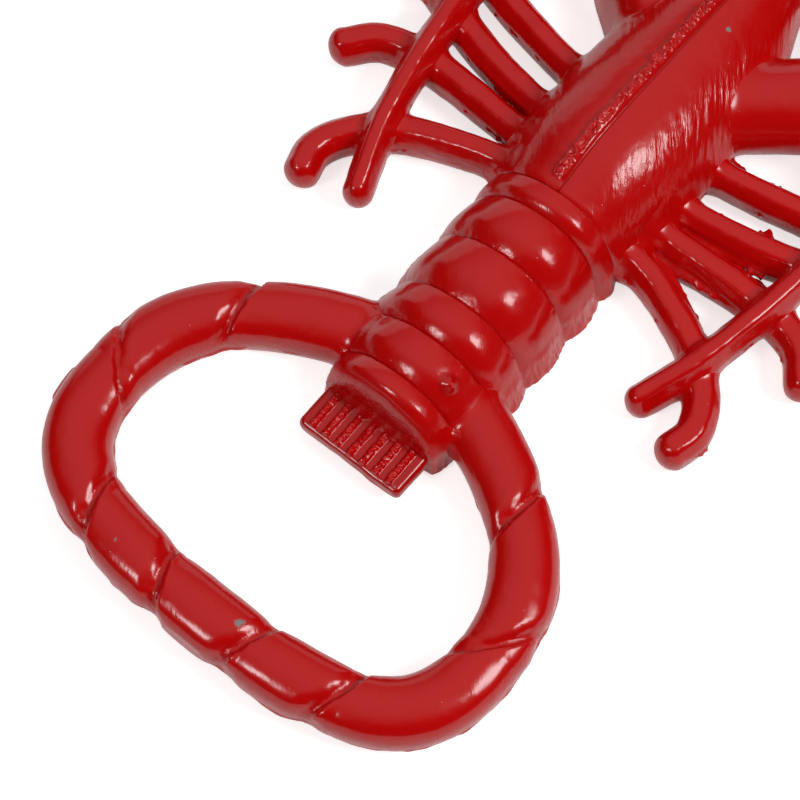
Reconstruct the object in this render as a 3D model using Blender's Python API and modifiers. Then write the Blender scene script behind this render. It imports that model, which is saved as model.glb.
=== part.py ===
# Lobster-shaped bottle opener: a red enamelled casting lying on its belly.
# The origin is the middle of the carapace's flat belly. +Y runs towards the head, +Z is up.
import math

import bmesh
import bpy
from mathutils import Matrix, Vector
from mathutils.geometry import interpolate_bezier

for leftover in list(bpy.data.objects):
    bpy.data.objects.remove(leftover, do_unlink=True)

MM = 0.001

# Gap left between two members where they meet
SEAT_GAP = 0.3 * MM
# How far a member's root runs into its carrier before the carrier is cut out of it
ROOT_DEPTH = 5.0 * MM

# Carapace, from its rear edge to the brow, with the ridge along the back
CARAPACE_LENGTH = 48.0 * MM
CARAPACE_WIDTH = 22.0 * MM
CARAPACE_HEIGHT = 15.4 * MM
BELLY_WIDTH = 15.0 * MM
SHOULDER_HEIGHT = 4.0 * MM
BROW_WIDTH = 9.0 * MM
BROW_HEIGHT = 11.5 * MM
ROSTRUM_LENGTH = 6.0 * MM
ROSTRUM_HEIGHT = 9.9 * MM
RIDGE_WIDTH = 2.2 * MM
RIDGE_CREST = 1.3 * MM
RIDGE_HEIGHT = 0.7 * MM
# Shares: way along from the rear edge, then of the full width, height and ridge
CARAPACE_STATIONS = [
    (0.0, 0.93, 0.94, 0.4),
    (0.04, 0.965, 0.965, 1.0),
    (0.2, 0.99, 0.99, 1.0),
    (0.42, 1.0, 1.0, 1.0),
    (0.58, 0.96, 0.985, 1.0),
    (0.7, 0.82, 0.93, 1.0),
]
# Shares: way along, then of the brow's width and height, and of that width at the belly
HEAD_STATIONS = [(0.86, 1.3, 1.08, 0.9), (1.0, 1.0, 1.0, 0.55)]
# Shares: way along the rostrum, then of the brow's section
ROSTRUM_STATIONS = [(0.55, 0.42), (1.0, 0.13)]

# Upper half section of the body, in degrees up from the side
DOME_DEGREES = (0, 14, 28, 43, 58, 74)
# Lower side: shares of the side's edge height, tucked in and up
SIDE_TUCK = 0.12
SIDE_KNEE = 0.38

# Abdomen: six segments from the carapace to the opener lip
SEGMENT_LENGTHS = [2.9 * MM, 6.7 * MM, 8.5 * MM, 6.0 * MM, 5.9 * MM, 3.2 * MM]
ABDOMEN_WIDTH = 20.2 * MM
ABDOMEN_HEIGHT = 13.4 * MM
TAIL_END_WIDTH = 18.0 * MM
TAIL_END_HEIGHT = 11.2 * MM
SIDE_FLARE = 1.2 * MM
FLARE_HEIGHT = 2.4 * MM
SEGMENT_STEP = 0.7 * MM
# Shares of a segment's length and of the step: it rises, swells and steps down into the next
SEGMENT_SWELL = [(0.0, 1.0), (0.1, 0.5), (0.38, 0.06), (0.72, 0.0), (0.92, 0.25)]
# Steps down at the two ends of the abdomen
FRONT_STEPS = 3.0
END_STEPS = 2.4
TAPER_POWER = 1.6

# Opener lip, and the crown cap that it opens
LIP_WIDTH = 15.0 * MM
LIP_REACH = 5.0 * MM
LIP_THICKNESS = 2.4 * MM
LIP_TOP = 4.3 * MM
LIP_CORNER = 0.8 * MM
LIP_RIDGES = 7
LIP_RIDGE_PITCH = 1.85 * MM
LIP_RIDGE_WIDTH = 0.9 * MM
LIP_RIDGE_LENGTH = 3.7 * MM
LIP_RIDGE_HEIGHT = 0.45 * MM
CAP_GAP = 20.6 * MM

# Rope-like ring: each groove is a share of the way from root to far bar, and its slant
RING_WIDTH = 63.4 * MM
RING_BAR = 7.8 * MM
RING_SIDE_SETBACK = 8.0 * MM
RING_SWELL = 0.05
RING_GROOVES = [(0.228, 32.0), (0.47, 45.0), (0.74, -32.0), (0.91, -22.0)]
GROOVE_WIDTH = 1.5 * MM
GROOVE_DEPTH = 0.6 * MM
RING_SQUARENESS = 2.5
# Handles of the ring's curve, as shares of its half width or of the run to the next point
RING_ROOT_HANDLE = (0.37, -0.125)
RING_SHOULDER_HANDLE = 0.56
RING_SIDE_HANDLE = 0.58
RING_FAR_HANDLE = 0.92

# Legs, numbered from the head: millimetres out from the flank and forward of the rear edge
LEG_WIDTH = 3.6 * MM
LEG_CREST = 2.2 * MM
LEG_HEIGHT = 5.4 * MM
LEG_ROOT_HEIGHT = 4.2 * MM
LEG_TIP_HEIGHT = 2.9 * MM
LEG_SQUARENESS = 3.2
LEG_ROUTES = [
    [(0.0, 17.6), (9.5, 19.7), (17.0, 22.2), (23.2, 24.4), (27.3, 22.7)],
    [(0.0, 11.2), (9.0, 12.9), (16.5, 15.3), (21.5, 17.0), (25.2, 16.2)],
    [(0.0, 6.9), (8.0, 7.5), (14.5, 7.8), (20.0, 6.5), (23.4, 3.0)],
    [(0.0, 2.2), (6.1, 0.6), (11.5, -1.6), (15.7, -5.4), (17.6, -9.4), (16.9, -13.3)],
]

# Antennae: millimetres out from the flank, forward of the rear edge, and up to the bar's middle
ANTENNA_WIDTH = 3.7 * MM
ANTENNA_CREST = 2.0 * MM
ANTENNA_HEIGHT = 6.0 * MM
ANTENNA_ROUTE = [
    (9.5, -11.0, 3.1),
    (12.7, -4.0, 4.3),
    (14.4, 3.0, 5.0),
    (15.7, 11.0, 5.4),
    (16.4, 18.0, 5.8),
    (15.8, 26.0, 8.6),
    (12.2, 33.5, 12.0),
    (6.0, 40.5, 10.8),
    (-1.5, 45.0, 7.4),
]
ANTENNA_BASE = 5.6 * MM
ANTENNA_SETBACK = 4.0 * MM
ANTENNA_SQUARENESS = 2.8

# Claws, out of frame in the photo: arm, palm with its fixed finger, and the free finger
ARM_DIAMETER = 11.4 * MM
WRIST_DIAMETER = 9.2 * MM
ARM_ANGLE = 39.6
ARM_LEAD = 10.8 * MM
ARM_REACH = 19.0 * MM
# Shares of the arm's reach and of its diameter: two bulging joints
ARM_STATIONS = [
    (-0.47, 1.0),
    (0.0, 1.0),
    (0.3, 1.02),
    (0.42, 0.93),
    (0.48, 0.93),
    (0.62, 1.06),
    (0.82, 1.02),
]
WRIST_SHARE = 0.9
CLAW_LENGTH = 44.0 * MM
PALM_WIDTH = 19.0 * MM
CLAW_THICKNESS = 12.4 * MM
FINGER_LENGTH = 24.0 * MM
FINGER_WIDTH = 7.4 * MM
FINGER_SPREAD = 8.6 * MM
FINGER_DEPTH = 8.1 * MM
CLAW_SQUARENESS = 2.2
# Shares: way ahead of the wrist and out from it, both of the claw's length, and of the palm's width
CLAW_STATIONS = [
    (0.0, 0.0, 0.4),
    (0.1, 0.045, 0.62),
    (0.25, 0.085, 0.9),
    (0.42, 0.1, 1.0),
    (0.56, 0.11, 0.86),
    (0.66, 0.125, 0.56),
    (0.8, 0.115, 0.44),
    (0.92, 0.06, 0.33),
    (1.0, -0.01, 0.2),
]
# Shares: way along the free finger, of its spread, and of its width
FINGER_STATIONS = [
    (-0.2, 0.35, 0.8),
    (0.12, 0.85, 1.0),
    (0.42, 1.12, 0.92),
    (0.72, 1.0, 0.7),
    (1.0, 0.55, 0.36),
]

# Eyes
EYE_DIAMETER = 3.8 * MM
EYE_SPACING = 8.0 * MM
EYE_SETBACK = 1.6 * MM
EYE_HEIGHT = 11.6 * MM

# Enamel
ENAMEL_RED = (0.47, 0.012, 0.012, 1.0)
ENAMEL_ROUGHNESS = 0.18

# Facets
SWEEP_SIDES = 10
CURVE_STEPS = 3
SHOULDER_STEPS = 13
CORNER_STEPS = 17
TIP_DEGREES = (35, 62, 82)

flank = CARAPACE_WIDTH / 2
rear = -CARAPACE_LENGTH / 2
brow = CARAPACE_LENGTH / 2
abdomen_end = rear - sum(SEGMENT_LENGTHS)
lip_tip = abdomen_end - LIP_REACH
sides = {"left": -1, "right": 1}

opener = bpy.data.collections.new("lobster_bottle_opener")
cutters = bpy.data.collections.new("cutters")
for collection in (opener, cutters):
    bpy.context.scene.collection.children.link(collection)
cutters.hide_render = True


def enamel(name):
    material = bpy.data.materials.new(name + "_enamel")
    material.use_nodes = True
    surface = material.node_tree.nodes["Principled BSDF"]
    surface.inputs["Base Color"].default_value = ENAMEL_RED
    surface.inputs["Roughness"].default_value = ENAMEL_ROUGHNESS
    surface.inputs["Metallic"].default_value = 0.0
    return material


def add_member(name, mesh):
    member = bpy.data.objects.new(name, mesh)
    mesh.name = name
    mesh.materials.append(enamel(name))
    opener.objects.link(member)
    return member


def add_helper(name, mesh):
    helper = bpy.data.objects.new(name, mesh)
    helper.hide_render = True
    helper.display_type = "WIRE"
    cutters.objects.link(helper)
    return helper


def grown(member):
    # The member's uncut form, one seat gap larger all round
    helper = add_helper(member.name + "_seat", member.data)
    swell = helper.modifiers.new("seat gap", "DISPLACE")
    swell.mid_level = 0.0
    swell.strength = SEAT_GAP
    return helper


def combine(member, helper, operation):
    step = member.modifiers.new(helper.name, "BOOLEAN")
    step.operation = operation
    step.solver = "EXACT"
    step.object = helper


def seat(member, *carriers):
    for carrier in carriers:
        combine(member, carrier, "DIFFERENCE")


def mesh_of(form, name):
    mesh = bpy.data.meshes.new(name)
    bmesh.ops.recalc_face_normals(form, faces=form.faces)
    form.to_mesh(mesh)
    form.free()
    return mesh


def loft(name, rings):
    # Skin over closed rings of equal count, with a flat face on each end
    form = bmesh.new()
    loops = [[form.verts.new(point) for point in ring] for ring in rings]
    count = len(rings[0])
    for near, far in zip(loops, loops[1:]):
        for i in range(count):
            j = (i + 1) % count
            form.faces.new((near[i], near[j], far[j], far[i]))
    form.faces.new(loops[0])
    form.faces.new(loops[-1])
    return mesh_of(form, name)


def body_ring(y, half_width, height, belly_half, edge_height, flare=0.0, ridge=None):
    # Half section from the belly's edge, round the side and over the dome, then mirrored
    dome_half = half_width - flare
    rise = height - edge_height
    half = [(belly_half, 0.0), (half_width - SIDE_TUCK * edge_height, SIDE_KNEE * edge_height)]
    for degrees in DOME_DEGREES:
        across = math.cos(math.radians(degrees))
        up = math.sin(math.radians(degrees))
        half.append((dome_half * across + flare * (1 - up) ** 4, edge_height + rise * up))
    if ridge:
        foot = RIDGE_WIDTH / 2
        half.append((foot, edge_height + rise * math.sqrt(1 - (foot / dome_half) ** 2)))
        height += ridge
        half.append((RIDGE_CREST / 2, height))
    mirrored = [(-x, z) for x, z in reversed(half)]
    return [Vector((x, y, z)) for x, z in half + [(0.0, height)] + mirrored]


def smooth_path(points):
    # Catmull-Rom curve through the points
    path = []
    ends = [2 * points[0] - points[1], *points, 2 * points[-1] - points[-2]]
    for before, start, stop, after in zip(ends, ends[1:], ends[2:], ends[3:]):
        leave = start + (stop - before) / 6
        arrive = stop - (after - start) / 6
        path += interpolate_bezier(start, leave, arrive, stop, CURVE_STEPS + 1)[:-1]
    return path + [points[-1]]


def rounded_tip(path, widths):
    # Shrinking rings past the path's end
    ahead = (path[-1] - path[-2]).normalized()
    path, widths = list(path), list(widths)
    end, width = path[-1], widths[-1]
    for degrees in TIP_DEGREES:
        angle = math.radians(degrees)
        path.append(end + ahead * (width / 2 * math.sin(angle)))
        widths.append(width * math.cos(angle))
    return path, widths


def section(width, height, squareness, crest):
    # Closed superellipse, upright: X across the bar, Y up, drawn in above its middle to a crest
    outline = bpy.data.curves.new("section", "CURVE")
    outline.dimensions = "2D"
    spline = outline.splines.new("POLY")
    spline.points.add(SWEEP_SIDES - 1)
    spline.use_cyclic_u = True
    for i, point in enumerate(spline.points):
        angle = 2 * math.pi * (i + 0.5) / SWEEP_SIDES
        across, up = math.cos(angle), math.sin(angle)
        x = math.copysign(abs(across) ** (2 / squareness), across) * width / 2
        y = math.copysign(abs(up) ** (2 / squareness), up) * height / 2
        narrowing = (1 - crest / width) * max(0.0, 2 * y / height)
        point.co = (x * (1 - narrowing), y, 0.0, 1.0)
    return bpy.data.objects.new("section", outline)


def sweep(name, path, widths, depth_ratio, squareness, crest_ratio=1.0):
    # Bar along the path: each station has its own width, and a depth and a crest in proportion
    outline = section(1.0, depth_ratio, squareness, crest_ratio)
    curve = bpy.data.curves.new(name, "CURVE")
    curve.dimensions = "3D"
    curve.twist_mode = "Z_UP"
    curve.bevel_mode = "OBJECT"
    curve.bevel_object = outline
    curve.use_fill_caps = True
    spline = curve.splines.new("POLY")
    spline.points.add(len(path) - 1)
    for point, place, width in zip(spline.points, path, widths):
        point.co = (*place, 1.0)
        point.radius = width
    guide = bpy.data.objects.new(name, curve)
    for helper in (outline, guide):
        cutters.objects.link(helper)
    graph = bpy.context.evaluated_depsgraph_get()
    swept = bpy.data.meshes.new_from_object(guide.evaluated_get(graph))
    bpy.data.objects.remove(guide)
    bpy.data.objects.remove(outline)
    form = bmesh.new()
    form.from_mesh(swept)
    bmesh.ops.remove_doubles(form, verts=form.verts, dist=SEAT_GAP / 100)
    return mesh_of(form, name)


def lengths_along(path):
    run = [0.0]
    for start, stop in zip(path, path[1:]):
        run.append(run[-1] + (stop - start).length)
    return run


def make_carapace():
    rings = []
    for share, width_share, height_share, ridge_share in CARAPACE_STATIONS:
        y = rear + share * CARAPACE_LENGTH
        wide = flank * width_share
        high = CARAPACE_HEIGHT * height_share
        belly = BELLY_WIDTH / 2 * width_share
        ridge = RIDGE_HEIGHT * ridge_share
        rings.append(body_ring(y, wide, high, belly, SHOULDER_HEIGHT, ridge=ridge))
    for share, width_share, height_share, belly_share in HEAD_STATIONS:
        y = rear + share * CARAPACE_LENGTH
        wide = BROW_WIDTH / 2 * width_share
        high = BROW_HEIGHT * height_share
        belly = wide * belly_share
        rings.append(body_ring(y, wide, high, belly, SHOULDER_HEIGHT, ridge=RIDGE_HEIGHT))
    # The rostrum: the brow's ring drawn forward to a blunt point below the brow's top
    brow_ring = rings[-1]
    for share, scale in ROSTRUM_STATIONS:
        tip = Vector((0.0, brow + share * ROSTRUM_LENGTH, ROSTRUM_HEIGHT))
        rings.append(
            [tip + scale * Vector((point.x, 0.0, point.z - ROSTRUM_HEIGHT)) for point in brow_ring]
        )
    return add_member("carapace", loft("carapace", rings))


def make_abdomen():
    length = sum(SEGMENT_LENGTHS)
    rings = []

    def station(y, step):
        share = max(0.0, (rear - y) / length) ** TAPER_POWER
        half = (ABDOMEN_WIDTH + (TAIL_END_WIDTH - ABDOMEN_WIDTH) * share) / 2
        height = ABDOMEN_HEIGHT + (TAIL_END_HEIGHT - ABDOMEN_HEIGHT) * share
        belly = half - SIDE_FLARE
        outline = (half - step, height - step, belly - step, FLARE_HEIGHT, SIDE_FLARE)
        rings.append(body_ring(y, *outline))

    station(rear + ROOT_DEPTH, FRONT_STEPS * SEGMENT_STEP)
    y = rear
    for segment in SEGMENT_LENGTHS:
        for share, dip in SEGMENT_SWELL:
            station(y - share * segment, dip * SEGMENT_STEP)
        y -= segment
    station(y, END_STEPS * SEGMENT_STEP)
    return add_member("abdomen", loft("abdomen", rings))


def make_lip(abdomen_seat):
    bpy.ops.mesh.primitive_cube_add(size=1.0)
    plate = bpy.context.object
    mesh = plate.data
    bpy.data.objects.remove(plate)
    length = LIP_REACH + ROOT_DEPTH
    middle = Vector((0.0, lip_tip + length / 2, LIP_TOP - LIP_THICKNESS / 2))
    mesh.transform(Matrix.LocRotScale(middle, None, (LIP_WIDTH, length, LIP_THICKNESS)))
    lip = add_member("opener_lip", mesh)
    corners = lip.modifiers.new("corners", "BEVEL")
    corners.width = LIP_CORNER
    corners.segments = 2

    bpy.ops.mesh.primitive_uv_sphere_add(segments=8, ring_count=6, radius=0.5)
    bead = bpy.context.object
    mesh = bead.data
    bpy.data.objects.remove(bead)
    first_x = -LIP_RIDGE_PITCH * (LIP_RIDGES - 1) / 2
    first = Vector((first_x, lip_tip + LIP_CORNER + LIP_RIDGE_LENGTH / 2, LIP_TOP))
    size = (LIP_RIDGE_WIDTH, LIP_RIDGE_LENGTH, 2 * LIP_RIDGE_HEIGHT)
    mesh.transform(Matrix.LocRotScale(first, None, size))
    ridges = add_helper("lip_ridges", mesh)
    row = ridges.modifiers.new("row", "ARRAY")
    row.count = LIP_RIDGES
    row.use_relative_offset = False
    row.use_constant_offset = True
    row.constant_offset_displace = (LIP_RIDGE_PITCH, 0.0, 0.0)
    combine(lip, ridges, "UNION")
    seat(lip, abdomen_seat)
    return lip


def ring_half_path():
    # Right half: leaves the groove before the fifth segment, rounds the side and meets the far bar's middle
    root_y = abdomen_end + SEGMENT_LENGTHS[5] + SEGMENT_LENGTHS[4]
    side_x = (RING_WIDTH - RING_BAR) / 2
    side_y = lip_tip - RING_SIDE_SETBACK
    far_y = lip_tip - CAP_GAP - RING_BAR / 2
    middle = RING_BAR * (1.0 + RING_SWELL) / 2
    root = Vector((TAIL_END_WIDTH / 2 - ROOT_DEPTH / 2, root_y, middle))
    side = Vector((side_x, side_y, middle))
    far = Vector((0.0, far_y, middle))
    shoulder = interpolate_bezier(
        root,
        root + side_x * Vector((*RING_ROOT_HANDLE, 0.0)),
        side + Vector((0.0, RING_SHOULDER_HANDLE * (root_y - side_y), 0.0)),
        side,
        SHOULDER_STEPS,
    )
    corner = interpolate_bezier(
        side,
        side + Vector((0.0, RING_SIDE_HANDLE * (far_y - side_y), 0.0)),
        far + Vector((RING_FAR_HANDLE * side_x, 0.0, 0.0)),
        far,
        CORNER_STEPS,
    )
    return shoulder[:-1] + corner


def make_ring(abdomen_seat):
    half = ring_half_path()
    run = lengths_along(half)
    stations = [length / run[-1] for length in run]
    bounds = [0.0, *[share for share, _ in RING_GROOVES], 2.0 - RING_GROOVES[-1][0]]
    widths = []
    for share in stations:
        last = max(i for i, bound in enumerate(bounds[:-1]) if bound <= share)
        between = (share - bounds[last]) / (bounds[last + 1] - bounds[last])
        widths.append(RING_BAR * (1.0 + RING_SWELL * math.sin(math.pi * between)))
    mirrored = [Vector((-p.x, p.y, p.z)) for p in reversed(half[:-1])]
    bar = sweep("tail_ring", half + mirrored, widths + widths[-2::-1], 1.0, RING_SQUARENESS)
    ring = add_member("tail_ring", bar)
    for side_name, side in sides.items():
        for number, (share, slant) in enumerate(RING_GROOVES):
            after = next(i for i, station in enumerate(stations) if station >= share)
            mix = (share - stations[after - 1]) / (stations[after] - stations[after - 1])
            place = half[after - 1].lerp(half[after], mix)
            along = (half[after] - half[after - 1]).normalized()
            along.rotate(Matrix.Rotation(math.radians(slant), 3, "Z"))
            bpy.ops.mesh.primitive_torus_add(
                major_segments=18,
                minor_segments=6,
                major_radius=(RING_BAR + GROOVE_WIDTH) / 2 - GROOVE_DEPTH,
                minor_radius=GROOVE_WIDTH / 2,
            )
            torus = bpy.context.object
            mesh = torus.data
            bpy.data.objects.remove(torus)
            reach = 1 / math.cos(math.radians(slant))
            frame = Matrix(
                (
                    (-along.y * reach, 0.0, along.x, place.x),
                    (along.x * reach, 0.0, along.y, place.y),
                    (0.0, 1.0, 0.0, place.z),
                    (0.0, 0.0, 0.0, 1.0),
                )
            )
            mesh.transform(frame)
            if side < 0:
                mesh.transform(Matrix.Scale(-1.0, 4, (1.0, 0.0, 0.0)))
                mesh.flip_normals()
            combine(ring, add_helper(f"{side_name}_ring_groove_{number + 1}", mesh), "DIFFERENCE")
    seat(ring, abdomen_seat)
    return ring


def make_leg(side_name, number, *carriers):
    side = sides[side_name]
    route = LEG_ROUTES[number - 1]
    points = [Vector((side * (flank - ROOT_DEPTH), rear + route[0][1] * MM, LEG_ROOT_HEIGHT))]
    for i, (out, ahead) in enumerate(route):
        height = LEG_ROOT_HEIGHT + (LEG_TIP_HEIGHT - LEG_ROOT_HEIGHT) * min(1.0, i / 2)
        points.append(Vector((side * (flank + out * MM), rear + ahead * MM, height)))
    path = smooth_path(points)
    path, widths = rounded_tip(path, [LEG_WIDTH] * len(path))
    name = f"{side_name}_leg_{number}"
    form = sweep(name, path, widths, LEG_HEIGHT / LEG_WIDTH, LEG_SQUARENESS, LEG_CREST / LEG_WIDTH)
    leg = add_member(name, form)
    seat(leg, *carriers)
    return leg


def arm_place(side, reach):
    # Point on the table under the arm's line, which starts ahead of the first leg
    joint_y = rear + LEG_ROUTES[0][0][1] * MM + ARM_LEAD
    angle = math.radians(ARM_ANGLE)
    return Vector((side * (flank + reach * math.cos(angle)), joint_y + reach * math.sin(angle), 0.0))


def make_arm(side_name, carapace_seat):
    side = sides[side_name]
    middle = Vector((0.0, 0.0, ARM_DIAMETER / 2 + SEAT_GAP))
    path = [arm_place(side, share * ARM_REACH) + middle for share, _ in ARM_STATIONS]
    widths = [ARM_DIAMETER * share for _, share in ARM_STATIONS]
    path.append(arm_place(side, ARM_REACH) + middle)
    widths.append(WRIST_DIAMETER)
    name = side_name + "_claw_arm"
    arm = add_member(name, sweep(name, path, widths, 1.0, 2.0))
    seat(arm, carapace_seat)
    return arm


def widths_between(shares, width):
    # The station's width shares, carried in straight steps to the points of a smooth path
    widths = []
    for near, far in zip(shares, shares[1:]):
        widths += [width * (near + (far - near) * i / CURVE_STEPS) for i in range(CURVE_STEPS)]
    return widths + [width * shares[-1]]


def make_claw(side_name, arm_seat):
    # Palm and fixed finger
    side = sides[side_name]
    wrist = arm_place(side, WRIST_SHARE * ARM_REACH)
    points = [
        wrist + Vector((side * out * CLAW_LENGTH, ahead * CLAW_LENGTH, CLAW_THICKNESS / 2))
        for ahead, out, _ in CLAW_STATIONS
    ]
    widths = widths_between([share for _, _, share in CLAW_STATIONS], PALM_WIDTH)
    path, widths = rounded_tip(smooth_path(points), widths)
    name = side_name + "_claw"
    form = sweep(name, path, widths, CLAW_THICKNESS / PALM_WIDTH, CLAW_SQUARENESS)
    claw = add_member(name, form)
    seat(claw, arm_seat)
    return claw


def make_finger(side_name, claw_seat):
    # Free finger on the inner side, from the palm to beside the fixed finger's tip
    side = sides[side_name]
    wrist = arm_place(side, WRIST_SHARE * ARM_REACH)
    knuckle = wrist + Vector((0.0, CLAW_LENGTH - FINGER_LENGTH, CLAW_THICKNESS / 2))
    points = [
        knuckle + Vector((-side * out * FINGER_SPREAD, ahead * FINGER_LENGTH, 0.0))
        for ahead, out, _ in FINGER_STATIONS
    ]
    widths = widths_between([share for _, _, share in FINGER_STATIONS], FINGER_WIDTH)
    path, widths = rounded_tip(smooth_path(points), widths)
    name = side_name + "_claw_finger"
    form = sweep(name, path, widths, FINGER_DEPTH / FINGER_WIDTH, CLAW_SQUARENESS)
    finger = add_member(name, form)
    seat(finger, claw_seat)
    return finger


def make_antenna(side_name, *carriers):
    # Saddles over the four legs and the arm on its way from the head to the tip
    side = sides[side_name]
    points = [
        Vector((side * (flank + out * MM), rear + ahead * MM, height * MM))
        for out, ahead, height in ANTENNA_ROUTE
    ]
    points.append(Vector((side * BROW_WIDTH / 4, brow - ANTENNA_SETBACK, ANTENNA_BASE)))
    path = smooth_path(points)
    path.reverse()
    path, widths = rounded_tip(path, [ANTENNA_WIDTH] * len(path))
    name = side_name + "_antenna"
    deep = ANTENNA_HEIGHT / ANTENNA_WIDTH
    form = sweep(name, path, widths, deep, ANTENNA_SQUARENESS, ANTENNA_CREST / ANTENNA_WIDTH)
    antenna = add_member(name, form)
    seat(antenna, *carriers)
    return antenna


def make_eye(side_name, carapace_seat):
    bpy.ops.mesh.primitive_uv_sphere_add(segments=14, ring_count=8, radius=EYE_DIAMETER / 2)
    ball = bpy.context.object
    mesh = ball.data
    bpy.data.objects.remove(ball)
    eye = add_member(side_name + "_eye", mesh)
    eye.location = (sides[side_name] * EYE_SPACING / 2, brow - EYE_SETBACK, EYE_HEIGHT)
    seat(eye, carapace_seat)
    return eye


carapace_seat = grown(make_carapace())
abdomen = make_abdomen()
seat(abdomen, carapace_seat)
abdomen_seat = grown(abdomen)
make_lip(abdomen_seat)
make_ring(abdomen_seat)
for side_name in sides:
    arm_seat = grown(make_arm(side_name, carapace_seat))
    claw_seat = grown(make_claw(side_name, arm_seat))
    make_finger(side_name, claw_seat)
    leg_seats = [
        grown(make_leg(side_name, number, carapace_seat, abdomen_seat))
        for number in range(1, len(LEG_ROUTES) + 1)
    ]
    make_antenna(side_name, carapace_seat, arm_seat, claw_seat, *leg_seats)
    make_eye(side_name, carapace_seat)
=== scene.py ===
# Looks of a lobster bottle opener: one casting, dipped in thick red enamel, lying on a white table.
# Lengths are millimetres in the part's own frame: +Y to the head, +Z up, the belly on the table.
import math

import bpy
import numpy as np
from mathutils import Matrix, Vector


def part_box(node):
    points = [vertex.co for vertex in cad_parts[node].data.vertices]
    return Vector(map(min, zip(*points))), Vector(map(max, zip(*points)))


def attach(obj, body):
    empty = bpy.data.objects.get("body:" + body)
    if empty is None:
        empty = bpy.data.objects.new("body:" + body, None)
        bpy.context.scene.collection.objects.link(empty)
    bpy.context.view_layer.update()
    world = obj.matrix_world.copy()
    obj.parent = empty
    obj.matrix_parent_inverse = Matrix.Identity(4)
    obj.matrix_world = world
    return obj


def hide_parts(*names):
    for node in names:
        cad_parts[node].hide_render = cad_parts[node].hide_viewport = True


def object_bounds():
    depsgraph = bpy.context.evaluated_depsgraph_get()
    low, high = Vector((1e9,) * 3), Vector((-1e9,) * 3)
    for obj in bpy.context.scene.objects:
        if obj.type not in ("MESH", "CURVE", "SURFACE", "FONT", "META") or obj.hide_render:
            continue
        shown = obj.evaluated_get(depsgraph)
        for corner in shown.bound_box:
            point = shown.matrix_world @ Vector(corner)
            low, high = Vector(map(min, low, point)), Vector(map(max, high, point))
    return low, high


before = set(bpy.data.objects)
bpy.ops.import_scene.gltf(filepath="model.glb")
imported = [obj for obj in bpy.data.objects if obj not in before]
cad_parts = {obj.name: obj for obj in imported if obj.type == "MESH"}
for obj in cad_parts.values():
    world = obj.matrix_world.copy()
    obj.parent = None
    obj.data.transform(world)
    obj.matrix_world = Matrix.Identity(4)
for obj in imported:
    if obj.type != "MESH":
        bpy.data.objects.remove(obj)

mm = 0.001
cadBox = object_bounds()
cadLow, cadHigh = (np.array(corner) / mm for corner in cadBox)
sides = {"left": -1, "right": 1}
print("frame loaded:", len(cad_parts), "CAD nodes")


def boxOf(node):  # lowest and highest corner of a CAD node
    low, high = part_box(node)
    return np.array(low) / mm, np.array(high) / mm


rear, flank = boxOf("carapace")[0][1], boxOf("carapace")[1][0]
tailEnd = boxOf("abdomen")[0][1]
lipTip = boxOf("opener_lip")[0][1]


# Shared maths

def unit(x):  # held between 0 and 1
    return np.clip(x, 0.0, 1.0)


def smoothStep(x):  # 3 x squared less 2 x cubed, from 0 to 1 with level ends
    x = unit(x)
    return x * x * (3.0 - 2.0 * x)


def ramp(x, start, run):  # smooth step from the start over the run; below 0, the run goes the other way
    return smoothStep((x - start) / run)


def bell(x, width):  # 1 in the middle, falling off over about the width
    return np.exp(-((x / width) ** 2))


def splineAt(x, knots):
    # cubic through (place, value) knots, each knot's slope taken from its neighbours
    xs, ys = np.array(knots, float).T
    slopes = np.gradient(ys, xs)
    i = np.clip(np.searchsorted(xs, x) - 1, 0, len(xs) - 2)
    step = xs[i + 1] - xs[i]
    t = unit((x - xs[i]) / step)
    start = ys[i] * (1 + 2 * t) * (1 - t) ** 2 + slopes[i] * step * t * (1 - t) ** 2
    stop = ys[i + 1] * t * t * (3 - 2 * t) - slopes[i + 1] * step * t * t * (1 - t)
    return start + stop


latticeSize = 41
lattice = np.random.default_rng(11).uniform(-1.0, 1.0, (latticeSize,) * 3)


def noiseAt(points, cell):
    # value noise: seeded random numbers on a lattice with this cell, mixed smoothly between corners
    place = points / cell
    corner = np.floor(place).astype(int)
    mix = smoothStep(place - corner)
    total = np.zeros(points.shape[:-1])
    for dx, dy, dz in np.ndindex(2, 2, 2):
        weight = np.abs(1 - dx - mix[..., 0]) * np.abs(1 - dy - mix[..., 1]) * np.abs(1 - dz - mix[..., 2])
        spot = (corner + (dx, dy, dz)) % latticeSize
        total += weight * lattice[spot[..., 0], spot[..., 1], spot[..., 2]]
    return total


def rough(points, height, cell):  # noise up to a height
    return height * noiseAt(points, cell)


def turned(points, heading):
    # the points seen along a level heading: across it, along it, and up
    c, s = math.cos(math.radians(heading)), math.sin(math.radians(heading))
    return points @ np.array([[c, -s, 0.0], [s, c, 0.0], [0.0, 0.0, 1.0]])


# Paths, bars and bodies

detail = {"route": 60, "curve": 200, "corner": 12, "bearings": 180}  # samples, before they are evened out


def lengthsAlong(curve):  # length from the start to each point
    return np.concatenate([[0.0], np.cumsum(np.linalg.norm(np.diff(curve, axis=0), axis=1))])


def evenly(curve, spacing):  # the same curve at even steps of its length
    run = lengthsAlong(curve)
    at = np.linspace(0.0, run[-1], int(run[-1] / spacing) + 2)
    return np.stack([np.interp(at, run, curve[:, k]) for k in range(3)], 1)


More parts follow.
